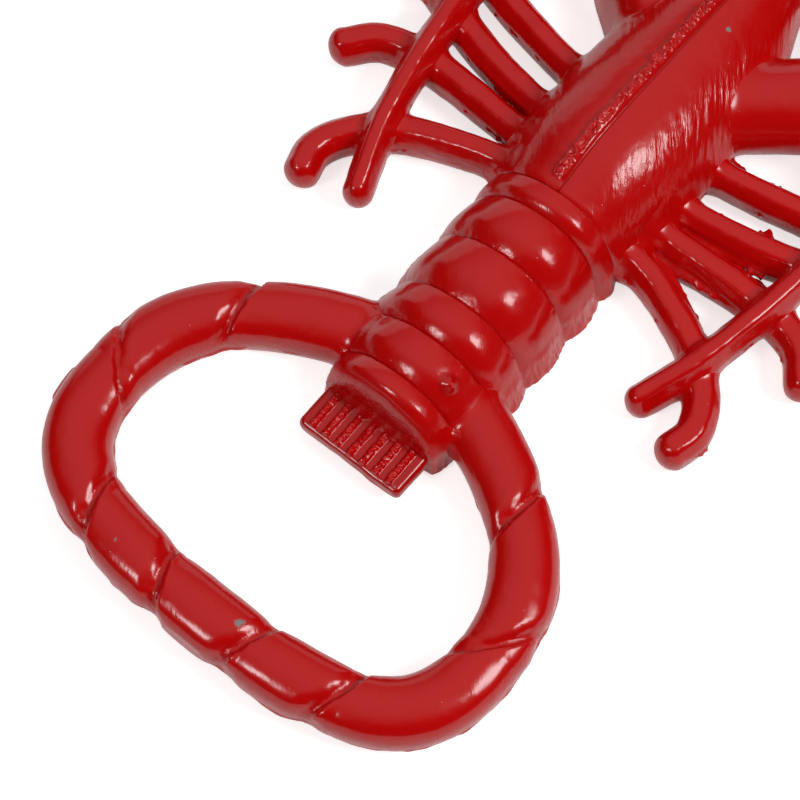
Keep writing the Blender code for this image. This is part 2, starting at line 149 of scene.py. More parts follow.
def smoothPath(points, spacing):
    # Catmull-Rom curve through the points
    points = np.array(points, float)
    ends = np.vstack([2 * points[0] - points[1], points, 2 * points[-1] - points[-2]])
    t = np.linspace(0.0, len(points) - 1.0, detail["route"] * len(points))
    i = np.clip(t.astype(int), 0, len(points) - 2)
    f = (t - i)[:, None]
    a, b, c, d = (ends[i + k] for k in range(4))
    curve = b + 0.5 * f * (c - a + f * (2 * a - 5 * b + 4 * c - d + f * (3 * b - a - 3 * c + d)))
    return evenly(curve, spacing)


def bezier(a, b, c, d):
    # cubic from a to d, with its handles at b and c
    t = np.linspace(0.0, 1.0, detail["curve"])[:, None]
    return a * (1 - t) ** 3 + 3 * b * t * (1 - t) ** 2 + 3 * c * t * t * (1 - t) + d * t ** 3


def cornered(corners, around):
    # closed section from half its corners, listed upwards as (across, up, rounding), each corner a curve;
    # its points lie at even steps, as shares of its half sizes
    right = np.array(corners, float)
    corners = np.vstack([right, right[right[:, 0] > 0][::-1] * (-1, 1, 1)])
    place = corners[:, :2]
    t = np.linspace(0.0, 1.0, detail["corner"])[:, None]
    curves = []
    for i, middle in enumerate(place):
        ends = []
        for other in (place[i - 1], place[(i + 1) % len(place)]):
            share = min(0.5, corners[i, 2] / np.linalg.norm(other - middle))
            ends.append(middle + (other - middle) * share)
        curves.append(ends[0] * (1 - t) ** 2 + 2 * middle * t * (1 - t) + ends[1] * t * t)
    outline = np.vstack(curves + [curves[0][:1]])
    run = lengthsAlong(outline)
    at = np.linspace(0.0, run[-1], around + 1)[:-1]
    across, up = (np.interp(at, run, outline[:, k]) for k in range(2))
    return across / np.abs(across).max(), up / np.abs(up).max()


def makeBar(path, halfWide, halfHigh, square, draft=0.0, outline=None, softEnd=0.0):
    # a bar along a path, with half sizes at each station; an outline gives the skin another section,
    # round again over the soft end, with the plain section left for distances
    ahead = np.gradient(path, axis=0)
    ahead /= np.linalg.norm(ahead, axis=1)[:, None]
    side = np.stack([ahead[:, 1], -ahead[:, 0], np.zeros(len(path))], 1)
    side /= np.linalg.norm(side, axis=1)[:, None]
    count = len(path)
    return {
        "path": path, "ahead": ahead, "side": side, "up": np.cross(side, ahead),
        "wide": np.broadcast_to(halfWide, count).astype(float),
        "high": np.broadcast_to(halfHigh, count).astype(float),
        "square": square, "draft": draft, "outline": outline, "softEnd": softEnd, "run": lengthsAlong(path),
    }


def withTip(path, radius, spacing, reach=0.995, least=0.0001):
    # carries a path on past its end by a radius, and gives the share of the section left in the round tip
    ahead = (path[-1] - path[-2]) / np.linalg.norm(path[-1] - path[-2])
    more = np.arange(spacing, radius, spacing)[:, None]
    path = np.vstack([path, path[-1] + ahead * more, path[-1] + ahead * radius * reach])
    run = lengthsAlong(path)
    past = unit((run - run[-1] + radius) / radius)
    return path, np.sqrt(np.maximum(1.0 - past ** 2, least))


def barGrid(bar, around):
    # the bar's skin: its outline at each station, or a superellipse of lateral and height
    if bar["outline"]:
        lateral, height = cornered(bar["outline"], around)
        angle = np.arctan2(height, lateral)
        left = bar["run"][-1] - bar["run"]
        soft = 1.0 - smoothStep(left / bar["softEnd"])[:, None] if bar["softEnd"] else 0.0
        lateral = lateral + soft * (np.cos(angle) - lateral)
        height = height + soft * (np.sin(angle) - height)
    else:
        angle = 2 * np.pi * (np.arange(around) + 0.5) / around
        c, s = np.cos(angle), np.sin(angle)
        lateral = np.sign(c) * np.abs(c) ** (2 / bar["square"])
        height = np.sign(s) * np.abs(s) ** (2 / bar["square"])
    across = bar["wide"][:, None] * lateral
    upward = bar["high"][:, None] * height
    offset = bar["side"][:, None] * across[..., None] + bar["up"][:, None] * upward[..., None]
    return bar["path"][:, None] + offset, across, upward


def gapToBar(points, bar, reach, coarse=0.5, far=99.0):
    # distance to a bar's skin: from the nearest path point, the part of the ray that lies outside the section
    flat = points.reshape(-1, 3)
    gap = np.full(len(flat), far)
    step = max(1, int(coarse / (bar["run"][1] - bar["run"][0])))
    path = bar["path"][::step]
    margin = reach + max(bar["wide"].max(), bar["high"].max())
    near = np.all((flat > path.min(0) - margin) & (flat < path.max(0) + margin), axis=1)
    picked = flat[near]
    if len(picked):
        square = (picked ** 2).sum(1)[:, None] + (path ** 2).sum(1) - 2 * picked @ path.T
        nearest = square.argmin(1)
        i = nearest * step
        offset = picked - bar["path"][i]
        lateral = (offset * bar["side"][i]).sum(1)
        height = (offset * bar["up"][i]).sum(1)
        along = (offset * bar["ahead"][i]).sum(1)
        past = np.where(nearest == 0, np.maximum(-along, 0.0), 0.0)
        past += np.where(nearest == len(path) - 1, np.maximum(along, 0.0), 0.0)
        wide = bar["wide"][i] * (1.0 - bar["draft"] * np.clip(height / bar["high"][i], -1.0, 1.0))
        power = bar["square"]
        share = (np.abs(lateral) / wide) ** power + (np.abs(height) / bar["high"][i]) ** power
        share = np.maximum(share ** (1 / power), 0.001)
        skin = np.hypot(lateral, height) * (1.0 - 1.0 / share)
        gap[near] = np.where(past > 0, np.hypot(np.maximum(skin, 0.0), past), skin)
    return gap.reshape(points.shape[:-1])


bodyMiddle = 4.5  # height of the line that the bodies' rings are measured from


def makeBody(grid):
    # polar table of a body's rings about its middle line, for distances
    angles = np.linspace(-np.pi, np.pi, detail["bearings"] + 1)
    table = []
    for ring in grid:
        bearing = np.arctan2(ring[:, 2] - bodyMiddle, ring[:, 0])
        order = np.argsort(bearing)
        radius = np.hypot(ring[:, 2] - bodyMiddle, ring[:, 0])
        table.append(np.interp(angles, bearing[order], radius[order], period=2 * np.pi))
    return {"y": grid[:, 0, 1], "radius": np.array(table)}


def gapToBody(points, body):
    # distance to a body's skin along the ray from its middle line, and past its ends
    flat = points.reshape(-1, 3)
    rows = np.interp(flat[:, 1], body["y"], np.arange(len(body["y"])))
    bearing = np.arctan2(flat[:, 2] - bodyMiddle, flat[:, 0])
    columns = (bearing + np.pi) / (2 * np.pi) * detail["bearings"]
    r0 = np.clip(rows.astype(int), 0, len(body["y"]) - 2)
    c0 = np.clip(columns.astype(int), 0, detail["bearings"] - 1)
    fr, fc = rows - r0, columns - c0
    radius = body["radius"]
    skin = (radius[r0, c0] * (1 - fc) + radius[r0, c0 + 1] * fc) * (1 - fr)
    skin += (radius[r0 + 1, c0] * (1 - fc) + radius[r0 + 1, c0 + 1] * fc) * fr
    gap = np.hypot(flat[:, 2] - bodyMiddle, flat[:, 0]) - skin
    past = np.maximum(flat[:, 1] - body["y"].max(), 0.0) + np.maximum(body["y"].min() - flat[:, 1], 0.0)
    return np.where(past > 0, np.hypot(np.maximum(gap, 0.0), past), gap).reshape(points.shape[:-1])


def filletSwell(gap, reach):
    # rise of the skin near a neighbour, as in a smooth union: a quarter of the reach at the crease
    return np.clip(reach - np.maximum(gap, 0.0), 0.0, None) ** 2 / (4 * reach)


def bellyCurve(count, power=0.6):
    # lower half of a superellipse, from one side to the other: how far in, and how far down
    angle = np.linspace(0.0, np.pi, count + 2)[1:-1]
    return np.sign(np.cos(angle)) * np.abs(np.cos(angle)) ** power, np.sin(angle) ** power


def normalsOf(grid):
    # cross product of the steps along the grid and around it, turned outwards
    along = np.gradient(grid, axis=0)
    around = np.roll(grid, -1, 1) - np.roll(grid, 1, 1)
    normal = np.cross(around, along)
    normal /= np.maximum(np.linalg.norm(normal, axis=2), 1e-9)[..., None]
    outward = grid - grid.mean(1, keepdims=True)
    return normal * np.sign((normal * outward).sum())


# Enamel

def linear(hexText):  # sRGB hex to linear light
    parts = np.array([int(hexText[i:i + 2], 16) for i in (1, 3, 5)]) / 255
    return (*np.where(parts <= 0.04045, parts / 12.92, ((parts + 0.055) / 1.055) ** 2.4), 1.0)


def addNode(tree, kind, settings, links):
    # one node: settings go to its sockets or its own properties, links to its sockets
    node = tree.nodes.new("ShaderNode" + kind)
    for key, value in settings.items():
        if isinstance(key, int) or key in node.inputs:
            node.inputs[key].default_value = value
        else:
            setattr(node, key, value)
    for key, source in links.items():
        tree.links.new(source, node.inputs[key])
    return node


strokeHeading = 39.6  # brush strokes over the carapace run this way, from +Y
enamel = {
    "red": "#C90506",
    # painted shade: the darker red laid into creases, grooves and recesses where shadow falls
    "shadeRed": "#A80304",
    "chipGrey": "#8B8380",
    "ior": 1.5,
    "roughness": (0.15, 0.23),  # varies with the orange peel
    "chipDull": 0.35,
    # cell along X, Y and Z, heading, fineness, relief, and the mark on the mesh that lets the pattern show
    "patterns": {
        "peel": ((1.3, 1.3, 1.3), 0.0, 2.0, 0.010, None),  # orange peel of the dipped coat
        "stroke": ((0.2, 1.7, 1.7), strokeHeading, 2.0, 0.055, "brush"),  # of the brush that laid the coat on
        "scratch": ((0.22, 0.22, 3.5), 0.0, 2.0, 0.045, "wall"),  # file and mould marks, along Z
        "grain": ((0.3, 0.3, 0.3), 0.0, 3.0, 0.08, "grit"),  # grit, drawn coarser than real so that it shows
    },
    "dustSpacing": 1.5,  # specks of dust caught in the coat
    "dustRadius": 0.13,
    "dustRelief": 0.03,
    "wall": (0.25, 0.35),  # a face is a wall where its normal rises less than this, fading over the next
}


def redEnamel():
    # Red enamel over a casting, dipped: thick and glossy, with painted shade that darkens it in creases,
    # grooves and recesses, with orange peel on the open faces, grit in the grooves and a few chips down to
    # grey metal.
    material = bpy.data.materials.new("redEnamel")
    material.use_nodes = True
    tree = material.node_tree
    tree.nodes.clear()
    s = enamel
    place = addNode(tree, "TexCoord", {}, {}).outputs["Object"]
    marks = {
        name: addNode(tree, "Attribute", {"attribute_name": name}, {}).outputs["Fac"]
        for name in ("grit", "wall", "paintedShade", "chip", "brush")
    }
    heights, normal = {}, {}
    for name, (cell, heading, fineness, relief, mark) in s["patterns"].items():
        swept = addNode(tree, "VectorRotate", {"Angle": -math.radians(heading)}, {"Vector": place})
        scale = {"Scale": [1 / (length * mm) for length in cell]}
        scaled = addNode(tree, "Mapping", scale, {"Vector": swept.outputs["Vector"]})
        finer = {"Scale": 1.0, "Detail": fineness}
        noise = addNode(tree, "TexNoise", finer, {"Vector": scaled.outputs["Vector"]})
        heights[name] = noise.outputs["Fac"]
        links = {"Height": heights[name], **normal}
        if mark:
            links["Strength"] = marks[mark]
        bump = addNode(tree, "Bump", {"Distance": relief * mm}, links)
        normal = {"Normal": bump.outputs["Normal"]}
    dust = addNode(tree, "TexVoronoi", {"Scale": 1 / (s["dustSpacing"] * mm)}, {"Vector": place})
    speck = addNode(
        tree,
        "MapRange",
        {"From Max": s["dustRadius"] / s["dustSpacing"], "To Min": 1.0, "To Max": 0.0},
        {"Value": dust.outputs["Distance"]},
    )
    links = {"Height": speck.outputs["Result"], **normal}
    bump = addNode(tree, "Bump", {"Distance": s["dustRelief"] * mm}, links)
    # painted shade: the darker red is mixed in where the mesh marks painted shade
    colours = {"data_type": "RGBA", 6: linear(s["red"]), 7: linear(s["shadeRed"])}
    colour = addNode(tree, "Mix", colours, {0: marks["paintedShade"]})
    colours = {"data_type": "RGBA", 7: linear(s["chipGrey"])}
    colour = addNode(tree, "Mix", colours, {0: marks["chip"], 6: colour.outputs[2]})
    gloss = {"To Min": s["roughness"][0], "To Max": s["roughness"][1]}
    gloss = addNode(tree, "MapRange", gloss, {"Value": heights["peel"]})
    duller = {"operation": "MULTIPLY_ADD", 1: s["chipDull"]}
    gloss = addNode(tree, "Math", duller, {0: marks["chip"], 2: gloss.outputs["Result"]})
    links = {"Base Color": colour.outputs[2], "Roughness": gloss.outputs[0], "Normal": bump.outputs["Normal"]}
    surface = addNode(tree, "BsdfPrincipled", {"IOR": s["ior"]}, links)
    addNode(tree, "OutputMaterial", {}, {"Surface": surface.outputs["BSDF"]})
    return material


chips = {
    # where the enamel is gone: a place and a size
    "spots": [
        ((4.0, -85.6, 7.7), 0.45), ((-13.0, -86.9, 7.7), 0.22),
        ((2.3, 5.2, 14.2), 0.32), ((6.3, -61.3, 3.9), 0.2),
    ],
    "deep": 0.3,  # share of the height that counts in a distance
    "ragged": (0.9, 0.4),  # height and cell of the unevenness of its edge
    "edge": (0.85, 0.3),
}


def placed(name, data):  # a new object in the scene
    item = bpy.data.objects.new(name, data)
    bpy.context.scene.collection.objects.link(item)
    return item


def addPiece(name, grid, grit, paintedShade, brush):
    # closed skin over rings of equal count, with one point closing each end, riding on the casting
    rings, around = grid.shape[:2]
    normal = normalsOf(grid)
    points = np.vstack([grid.reshape(-1, 3), grid[0].mean(0), grid[-1].mean(0)])
    index = np.arange(rings * around).reshape(rings, around)
    beside = np.roll(index, -1, 1)
    quads = np.stack([index[:-1], beside[:-1], beside[1:], index[1:]], -1).reshape(-1, 4)
    start = np.stack([np.full(around, rings * around), beside[0], index[0]], 1)
    stop = np.stack([np.full(around, rings * around + 1), index[-1], beside[-1]], 1)
    middle = quads[len(quads) // 2]
    face = np.cross(points[middle[1]] - points[middle[0]], points[middle[3]] - points[middle[0]])
    if (face * normal.reshape(-1, 3)[middle[0]]).sum() < 0:
        quads, start, stop = quads[:, ::-1], start[:, ::-1], stop[:, ::-1]
    corners = np.concatenate([quads.ravel(), start.ravel(), stop.ravel()])
    counts = np.concatenate([np.full(len(quads), 4), np.full(2 * around, 3)])
    mesh = bpy.data.meshes.new(name)
    mesh.vertices.add(len(points))
    mesh.vertices.foreach_set("co", (points * mm).astype(np.float32).ravel())
    mesh.loops.add(len(corners))
    mesh.loops.foreach_set("vertex_index", corners.astype(np.int32))
    mesh.polygons.add(len(counts))
    mesh.polygons.foreach_set("loop_start", (np.cumsum(counts) - counts).astype(np.int32))
    mesh.update(calc_edges=True)
    mesh.validate()
    mesh.shade_smooth()
    wall = 1.0 - ramp(np.abs(normal[..., 2]), *enamel["wall"])
    chip = np.zeros(grid.shape[:2])
    ragged = rough(grid, *chips["ragged"])
    for spot, size in chips["spots"]:
        edge = np.linalg.norm((grid - spot) * (1.0, 1.0, chips["deep"]), axis=2) / size + ragged
        chip = np.maximum(chip, 1.0 - ramp(edge, *chips["edge"]))
    # the painted shade mark darkens the coat in creases, grooves and recesses
    for key, values in {"grit": grit, "wall": wall, "paintedShade": paintedShade, "chip": chip, "brush": brush}.items():
        values = np.append(np.broadcast_to(values, grid.shape[:2]).ravel(), [0.0, 0.0])
        mesh.attributes.new(key, "FLOAT", "POINT").data.foreach_set("value", values.astype(np.float32))
    mesh.materials.append(coat)
    piece = placed(name, mesh)
    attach(piece, "root")
    return piece


def finishPiece(name, node, grid, relief, grit=0.0, paintedShade=0.0, brush=0.0):
    # pushes the skin out along its normals by the relief, then makes the piece that stands for the node;
    # what would pass the object's own box lies flat on it, as the underside does on the table
    raised = np.clip(grid + normalsOf(grid) * relief[..., None], cadLow, cadHigh)
    piece = addPiece(name, raised, grit, paintedShade, brush)
    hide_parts(node)
    print(name, len(piece.data.polygons), "faces")
    return piece


# Base forms of the members, made first so that each can rise to meet its neighbours

carapace = {
    # millimetres ahead of the rear edge, then the half width, top, widest height and underside
    "stations": [
        (0.0, 9.9, 14.5, 4.0, 0.0), (1.9, 10.4, 14.9, 4.0, 0.0), (9.6, 11.0, 15.4, 4.0, 0.0),
        (16.0, 11.0, 15.3, 4.0, 0.0), (22.0, 10.7, 14.9, 4.0, 0.0), (27.8, 10.1, 14.4, 4.0, 0.0),
        (33.6, 8.8, 13.7, 4.0, 0.0), (41.3, 5.9, 12.5, 4.0, 0.0), (48.0, 4.3, 11.5, 4.2, 0.2),
        (51.3, 1.9, 10.7, 7.4, 5.4), (54.0, 0.5, 10.1, 9.6, 9.1),
    ],
    "rings": 430,
    "around": 226,
    "domeShare": 0.78,  # of the points round a ring, closer together by the ridge
    "spread": 0.6,
    # the rough strip along the back lies left of a furrow that marks the middle, both above this height
    "backHeight": 6.0,
    "stripLeft": -2.1,
    "stripRight": -0.95,
    "stripEdge": 0.3,
    "wander": (0.12, 1.3),  # height and cell of noise, as in every such pair here
    "furrow": -0.2,
    "furrowWidths": (0.3, 0.12),  # on its left and on its right
    "furrowDepth": 0.2,
    # painted shade: how much darker the furrow is
    "furrowShade": 0.6,
    "ridgeHeight": 0.42,
    "ridgeStart": 1.2,
    "ridgeGrain": 0.5,
    "grainFloor": -0.5,
    "fineGrain": (0.7, 0.26),
    "grainRelief": 0.34,
    "taperLength": 11.0,  # over this length the rear runs down to a step below the tail's section
    "taperPower": 2.0,
    "rearStep": 0.4,
    "rearHalf": 9.1,
    "edgeDrop": 0.2,  # the rear edge is rounded off by this height, over this length
    "edgeRun": 0.8,
    "strokes": (0.36, 2.4, 2.0),  # length of a brush stroke across its heading, along it and up
    "strokeRelief": 0.05,
    "strokesLeft": 0.7,
    "flank": (3.2, 3.0),  # strokes come in from here outwards, above the foot
    "flankFoot": 3.0,
}


def carapaceGrid():
    # rings along Y: half an ellipse above the widest height, a squarer half below it; the rear runs down
    # to the tail's section
    s = carapace
    table = np.array(s["stations"])
    ahead = np.linspace(0.0, table[-1, 0], s["rings"])
    half, top, edge, under = (splineAt(ahead, table[:, (0, k)])[:, None] for k in range(1, 5))
    upper = int(s["around"] * s["domeShare"])
    w = np.linspace(-1.0, 1.0, upper)
    dome = np.pi / 2 * (1 - s["spread"] * w - (1 - s["spread"]) * w ** 3)
    inward, down = bellyCurve(s["around"] - upper)
    x = np.hstack([half * np.cos(dome), -half * inward])
    z = np.hstack([edge + (top - edge) * np.sin(dome), edge - (edge - under) * down])
    y = np.broadcast_to((rear + ahead)[:, None], x.shape)
    taper = unit(1.0 - ahead / s["taperLength"])[:, None] ** s["taperPower"]
    bow = np.sqrt(unit(1.0 - (x / s["rearHalf"]) ** 2))
    tail = abdomen["domeFoot"] + (abdomen["top"] - abdomen["domeFoot"]) * bow - s["rearStep"]
    z = z - taper * np.clip(z - tail, 0.0, None) * (np.arange(s["around"]) < upper)
    return np.stack([x, y, z], -1)


abdomen = {
    "segments": [3.4, 6.6, 7.5, 5.4, 5.6, 3.9],  # from the carapace to the lip
    # millimetres behind the carapace, then the half width of the dome or of the flaps at its foot
    "dome": [(0.0, 8.9), (14.0, 9.1), (24.0, 8.8), (29.0, 8.4), (32.4, 7.7)],
    "flaps": [(0.0, 9.9), (6.0, 10.3), (14.0, 10.5), (24.0, 10.3), (28.5, 9.0), (32.4, 8.1)],
    "flapLean": 0.34,  # how far a flap draws in for each millimetre of height, up to its top
    "flapTop": 4.0,
    "flapCurl": 0.5,  # past that top it draws in by this, times the square of the height
    "flapBlend": 1.0,  # how softly a flap and the dome meet, up to the crown
    "flapInset": 0.2,
    "crown": (0.97, -0.2),
    "leftSide": 0.6,  # the left side stands out further
    "scallop": 0.8,
    "top": 13.8,
    "endTop": 11.3,
    "taper": 1.6,
    "edgeHeight": 0.8,
    "domeFoot": 4.0,
    "grooveDepth": 1.35,
    "frontStep": 0.5,  # share of the depth at a segment's front edge, and at the first one's
    "firstStep": 0.15,
    "frontCrown": 0.66,  # share of a segment over which it rises, and after which it falls again
    "rearCrown": 0.44,
    "fallPower": 2.4,
    "sideShare": 0.6,  # how much of a groove is left at the flanks
    "skew": 0.05,  # the segments lie a little out of square
    "endRound": 2.2,  # the end slopes down over this length, by this height, and draws in by this width
    "endDrop": 4.9,
    "endDraw": 0.25,
    "endFoot": 1.1,
    "footHeight": 2.0,
    "footShare": 0.97,
    "inside": 5.0,
    "rings": 340,
    "endRings": 40,
    "faceRings": 12,
    "around": 240,
    "domeShare": 0.84,
    # where the coat is gritty or rough: the grooves, the flaps below a height, and the end face
    "grooveWidths": (0.05, 0.1),
    "grooveGrain": (0.04, 0.5),
    "grooveEnd": 0.3,
    "rough": (6.0, -3.0),
    "roughRelief": 0.09,
    "roughCells": (0.5, 0.35, 2.0),
    "endFace": (1.8, -0.8),
    "grit": {"groove": 0.6, "end": 0.4, "bead": 0.5, "flap": 0.2},
    # painted shade: how much darker the grooves and the ring round the pimple are
    "paintedShade": {"groove": 0.15, "bead": 0.5},
    "brush": 0.2,
}


lastSegment = len(abdomen["segments"]) - 1


def bandPlace(back):
    # which segment a place behind the carapace is in, and how far through it towards the lip
    bounds = np.concatenate([[0.0], np.cumsum(abdomen["segments"])])
    back = np.clip(back, 0.0, bounds[-1] - 1e-6)
    number = np.searchsorted(bounds, back, side="right") - 1
    return number, (back - bounds[number]) / np.diff(bounds)[number]


def bandDip(back):
    # a segment's profile: a step up at its front edge, a round rise, then a round fall to the next one;
    # inside the carapace it stays down
    s = abdomen
    number, through = bandPlace(back)
    step = np.where(number > 0, s["frontStep"], s["firstStep"])
    rise = step * unit(1.0 - through / s["frontCrown"]) ** 2
    fall = unit((through - s["rearCrown"]) / (1.0 - s["rearCrown"])) ** s["fallPower"]
    return np.where(back < 0, 1.0, rise + fall * (number < lastSegment))


def abdomenGrid():
    # rings along Y: half an ellipse over flaps that lean outwards, the larger of the two taken smoothly,
    # each ring drawn in by its place within its segment; the last rings slope down an ellipse's quarter
    # to the lip, and close below it
    s = abdomen
    length = sum(s["segments"])
    turn = np.linspace(0.0, np.pi / 2, s["endRings"])[1:]
    straight = np.linspace(-s["inside"], length - s["endRound"], s["rings"])
    back = np.append(straight, length - s["endRound"] * (1 - np.sin(turn)))[:, None]
    end = np.append(np.zeros(s["rings"]), 1 - np.cos(turn))[:, None]
    share = unit(back / length) ** s["taper"]
    top = s["top"] + (s["endTop"] - s["top"]) * share
    number, through = bandPlace(back)
    dip = bandDip(back) * s["grooveDepth"]
    upper = int(s["around"] * s["domeShare"])
    angle = np.linspace(0.0, np.pi, upper)
    c, up = np.cos(angle), np.sin(angle)
    drawn = dip * (s["sideShare"] + (1 - s["sideShare"]) * up)
    height = top - drawn - s["endDrop"] * end
    z = s["edgeHeight"] + (height - s["edgeHeight"]) * up
    wider = s["leftSide"] * smoothStep(0.5 - c) - s["endDraw"] * end
    over = np.clip(z - s["domeFoot"], 0.0, None) / np.clip(height - s["domeFoot"], 0.1, None)
    dome = (splineAt(back, s["dome"]) - drawn + wider) * np.sqrt(unit(1 - over ** 2))
    scallop = s["scallop"] * (2 * through - 1) ** 2 * (number < lastSegment)
    flap = splineAt(back, s["flaps"]) - scallop + wider - s["flapLean"] * z
    flap = flap - s["flapCurl"] * np.clip(z - s["flapTop"], 0.0, None) ** 2
    half = (dome + flap + np.sqrt((dome - flap) ** 2 + s["flapBlend"])) / 2 - s["flapInset"]
    x = (dome + (half - dome) * ramp(up, *s["crown"])) * np.sign(c)
    inward, down = bellyCurve(s["around"] - upper)
    x = np.hstack([x, -np.where(inward > 0, -x[:, -1:], x[:, :1]) * inward])
    z = np.hstack([z, s["edgeHeight"] * (1 - down) + 0.0 * back])
    y = rear - back + s["skew"] * x * (1 - share)
    grid = np.stack([x, y, z], -1)
    closing = np.linspace(0.0, 1.0, s["faceRings"])[1:, None, None]
    foot = np.array([0.0, tailEnd, s["footHeight"]])
    face = foot + (grid[-1] - foot) * (1 - s["footShare"] * closing)
    face[..., 1] = grid[-1, :, 1] - s["endFoot"] * np.sin(np.pi / 2 * closing[..., 0])
    return np.concatenate([grid, face])


ring = {
    "width": 62.9,
    "bar": 7.8,
    "sideSetback": 8.0,  # widest place, behind the lip's tip
    "capGap": 20.6,
    "rootX": 6.4,  # the bar starts inside the fifth segment
    "rootSetback": 9.1,
    "rootHandle": (0.37, -0.125),
    "shoulderHandle": 0.56,
    "sideHandle": 0.58,
    "farHandle": 0.92,
    "rootReach": 4.5,  # run on into the tail, so that no end shows
    # the casting is not quite true: how far the roots and the loop lie off their mirror place
    "rootLean": (-0.55, -0.25),
    "loopLean": (-0.2, -0.05),
    "wider": 0.1,  # half the bar's width over the part's, and its height left for the swell
    "lower": 0.3,
    "swell": 0.3,
    "swellMean": 0.6,
    "swellPower": 0.6,
    "square": 2.6,
    # half the bar's section, from its foot up to the edge of its top: across, up, and rounding
    "outline": [(3.1, -3.8, 1.0), (4.0, -1.0, 1.8), (3.75, 1.6, 2.0), (2.5, 3.1, 1.8), (0.0, 3.8, 2.5)],
    # share of the way from root to far bar, slant, depth, and which lobe has the crisp edge:
    # 1 for the one towards the far bar, -1 for the one towards the root
    "grooves": {
        "right": [(0.228, 32, 0.75, 1), (0.47, 45, 0.65, 1), (0.74, -32, 0.75, -1), (0.91, -22, 0.75, -1)],
        "left": [(0.228, 32, 0.75, -1), (0.47, 45, 0.5, 1), (0.74, -32, 0.75, 1), (0.91, -22, 0.75, 1)],
    },
    "firstLobe": -0.2,
    "top": (0.3, 2.2),  # the top side begins here, over this height
    "innerFade": 0.5,
    "wander": (0.18, 1.1),
    "crispRun": 0.35,
    "floorRun": 0.8,
    "roundRun": 2.2,
    "sideCut": 0.75,  # a groove's share of its depth down the sides, its shift and its width there
    "sideShift": 0.3,
    "sideWidth": 1.5,
    "gritWidth": 0.55,
    "grainCell": 0.55,
    "fineGrain": (0.6, 0.33),
    "grainRelief": 0.06,
    "seamDepth": 1.2,  # the mould's parting line, below the bar's middle
    "seamWidth": 0.22,
    "seamHeight": 0.25,
    "seamLeast": 0.3,
    "seamCell": 1.6,
    "seamOut": 2.5,
    # slivers where the lower half of the mould stood out: a place on the outer side, and half a length
    "slivers": [((-32.0, -63.2), 3.4), ((-32.4, -75.7), 3.0)],
    "sliver": 0.55,
    "sliverTop": (0.2, -0.6),
    "sliverOut": 2.0,
    "sliverEnd": (1.0, -0.25),
    # painted shade: how much darker the grooves are
    "paintedShade": 0.25,
    "brush": 0.25,
    "spacing": 0.22,
    "around": 140,
}


def ringBar():
    # two Bezier curves from the tail's fifth segment round the side to the far bar, and their mirror
    s = ring
    sideX = (s["width"] - s["bar"]) / 2
    rootY = tailEnd + s["rootSetback"]
    sideY = lipTip - s["sideSetback"]
    farY = lipTip - s["capGap"] - s["bar"] / 2
    middle = boxOf("tail_ring")[1][2] / 2
    root = np.array([s["rootX"], rootY, middle])
    side = np.array([sideX, sideY, middle])
    far = np.array([0.0, farY, middle])
    shoulder = bezier(
        root,
        root + sideX * np.array([*s["rootHandle"], 0.0]),
        side + np.array([0.0, s["shoulderHandle"] * (rootY - sideY), 0.0]),
        side,
    )
    corner = bezier(
        side,
        side + np.array([0.0, s["sideHandle"] * (farY - sideY), 0.0]),
        far + np.array([s["farHandle"] * sideX, 0.0, 0.0]),
        far,
    )
    half = np.vstack([shoulder[:-1], corner])
    inward = (half[0] - half[1]) / np.linalg.norm(half[0] - half[1])
    half = np.vstack([half[0] + inward * s["rootReach"], half])
    path = evenly(np.vstack([half, half[-2::-1] * (-1, 1, 1)]), s["spacing"])
    off = smoothStep((rootY - path[:, 1]) / (rootY - sideY))[:, None]
    path[:, :2] += (1 - off) * s["rootLean"] + off * s["loopLean"]
    return makeBar(path, s["bar"] / 2 + s["wider"], middle - s["lower"], s["square"], 0.0, s["outline"])


legs = {
    "halfWidth": 1.9,
    "halfHeight": 2.65,
    "rootHeight": 4.2,
    "tipHeight": 2.9,
    "rootDepth": 5.0,
    "dropPoints": 2,  # from the root's height to the tip's over this many points of the route
    "tipHalfWidth": 2.15,
    "tipInset": 0.3,
    "outer": (0.15, 0.5),  # share of the length where the outer end begins, and over which it comes in
    "square": 3.0,
    "draft": 0.2,
    # half the leg's section, as for the ring
    "outline": [(1.5, -2.65, 0.5), (1.9, -1.2, 0.6), (1.9, 0.9, 0.6), (0.98, 2.55, 0.6), (0.0, 2.65, 0.5)],
    "softEnd": 2.5,
    "slim": {"right_leg_1": 0.95, "right_leg_2": 0.95},
    "seamDepth": 0.2,
    # how far an outer end lies off its mirror place
    "lean": {
        "left_leg_3": (-0.9, 0.3),
        "right_leg_3": (0.2, -0.2),
        "left_leg_4": (-0.3, -0.1),
        "right_leg_4": (-0.2, -0.6),
    },
    # out from the flank and forward of the rear edge, as the part's own routes
    "routes": [
        [(0.0, 17.6), (9.5, 19.7), (17.0, 22.2), (23.2, 24.4), (27.3, 22.7)],
        [(0.0, 11.2), (9.0, 12.9), (16.5, 15.3), (21.5, 17.0), (25.2, 16.2)],
        [(0.0, 6.9), (8.0, 7.5), (14.5, 7.8), (20.0, 6.5), (23.4, 3.0)],
        [(0.0, 2.2), (6.1, 0.6), (11.5, -1.6), (15.7, -5.4), (17.6, -9.4), (17.0, -12.8)],
    ],
    "spacing": 0.16,
    "around": 96,
    "flash": {"right_leg_1": 1.6, "right_leg_2": 2.1},
    "flashElsewhere": 0.5,
    # webs of flash, low between the roots of neighbouring legs: the neighbour, and how far the web reaches
    "webs": {
        "right_leg_2": {"right_leg_3": 4.5},
        "right_leg_3": {"right_leg_2": 4.5, "right_leg_4": 7.0},
        "right_leg_4": {"right_leg_3": 7.0},
    },
}


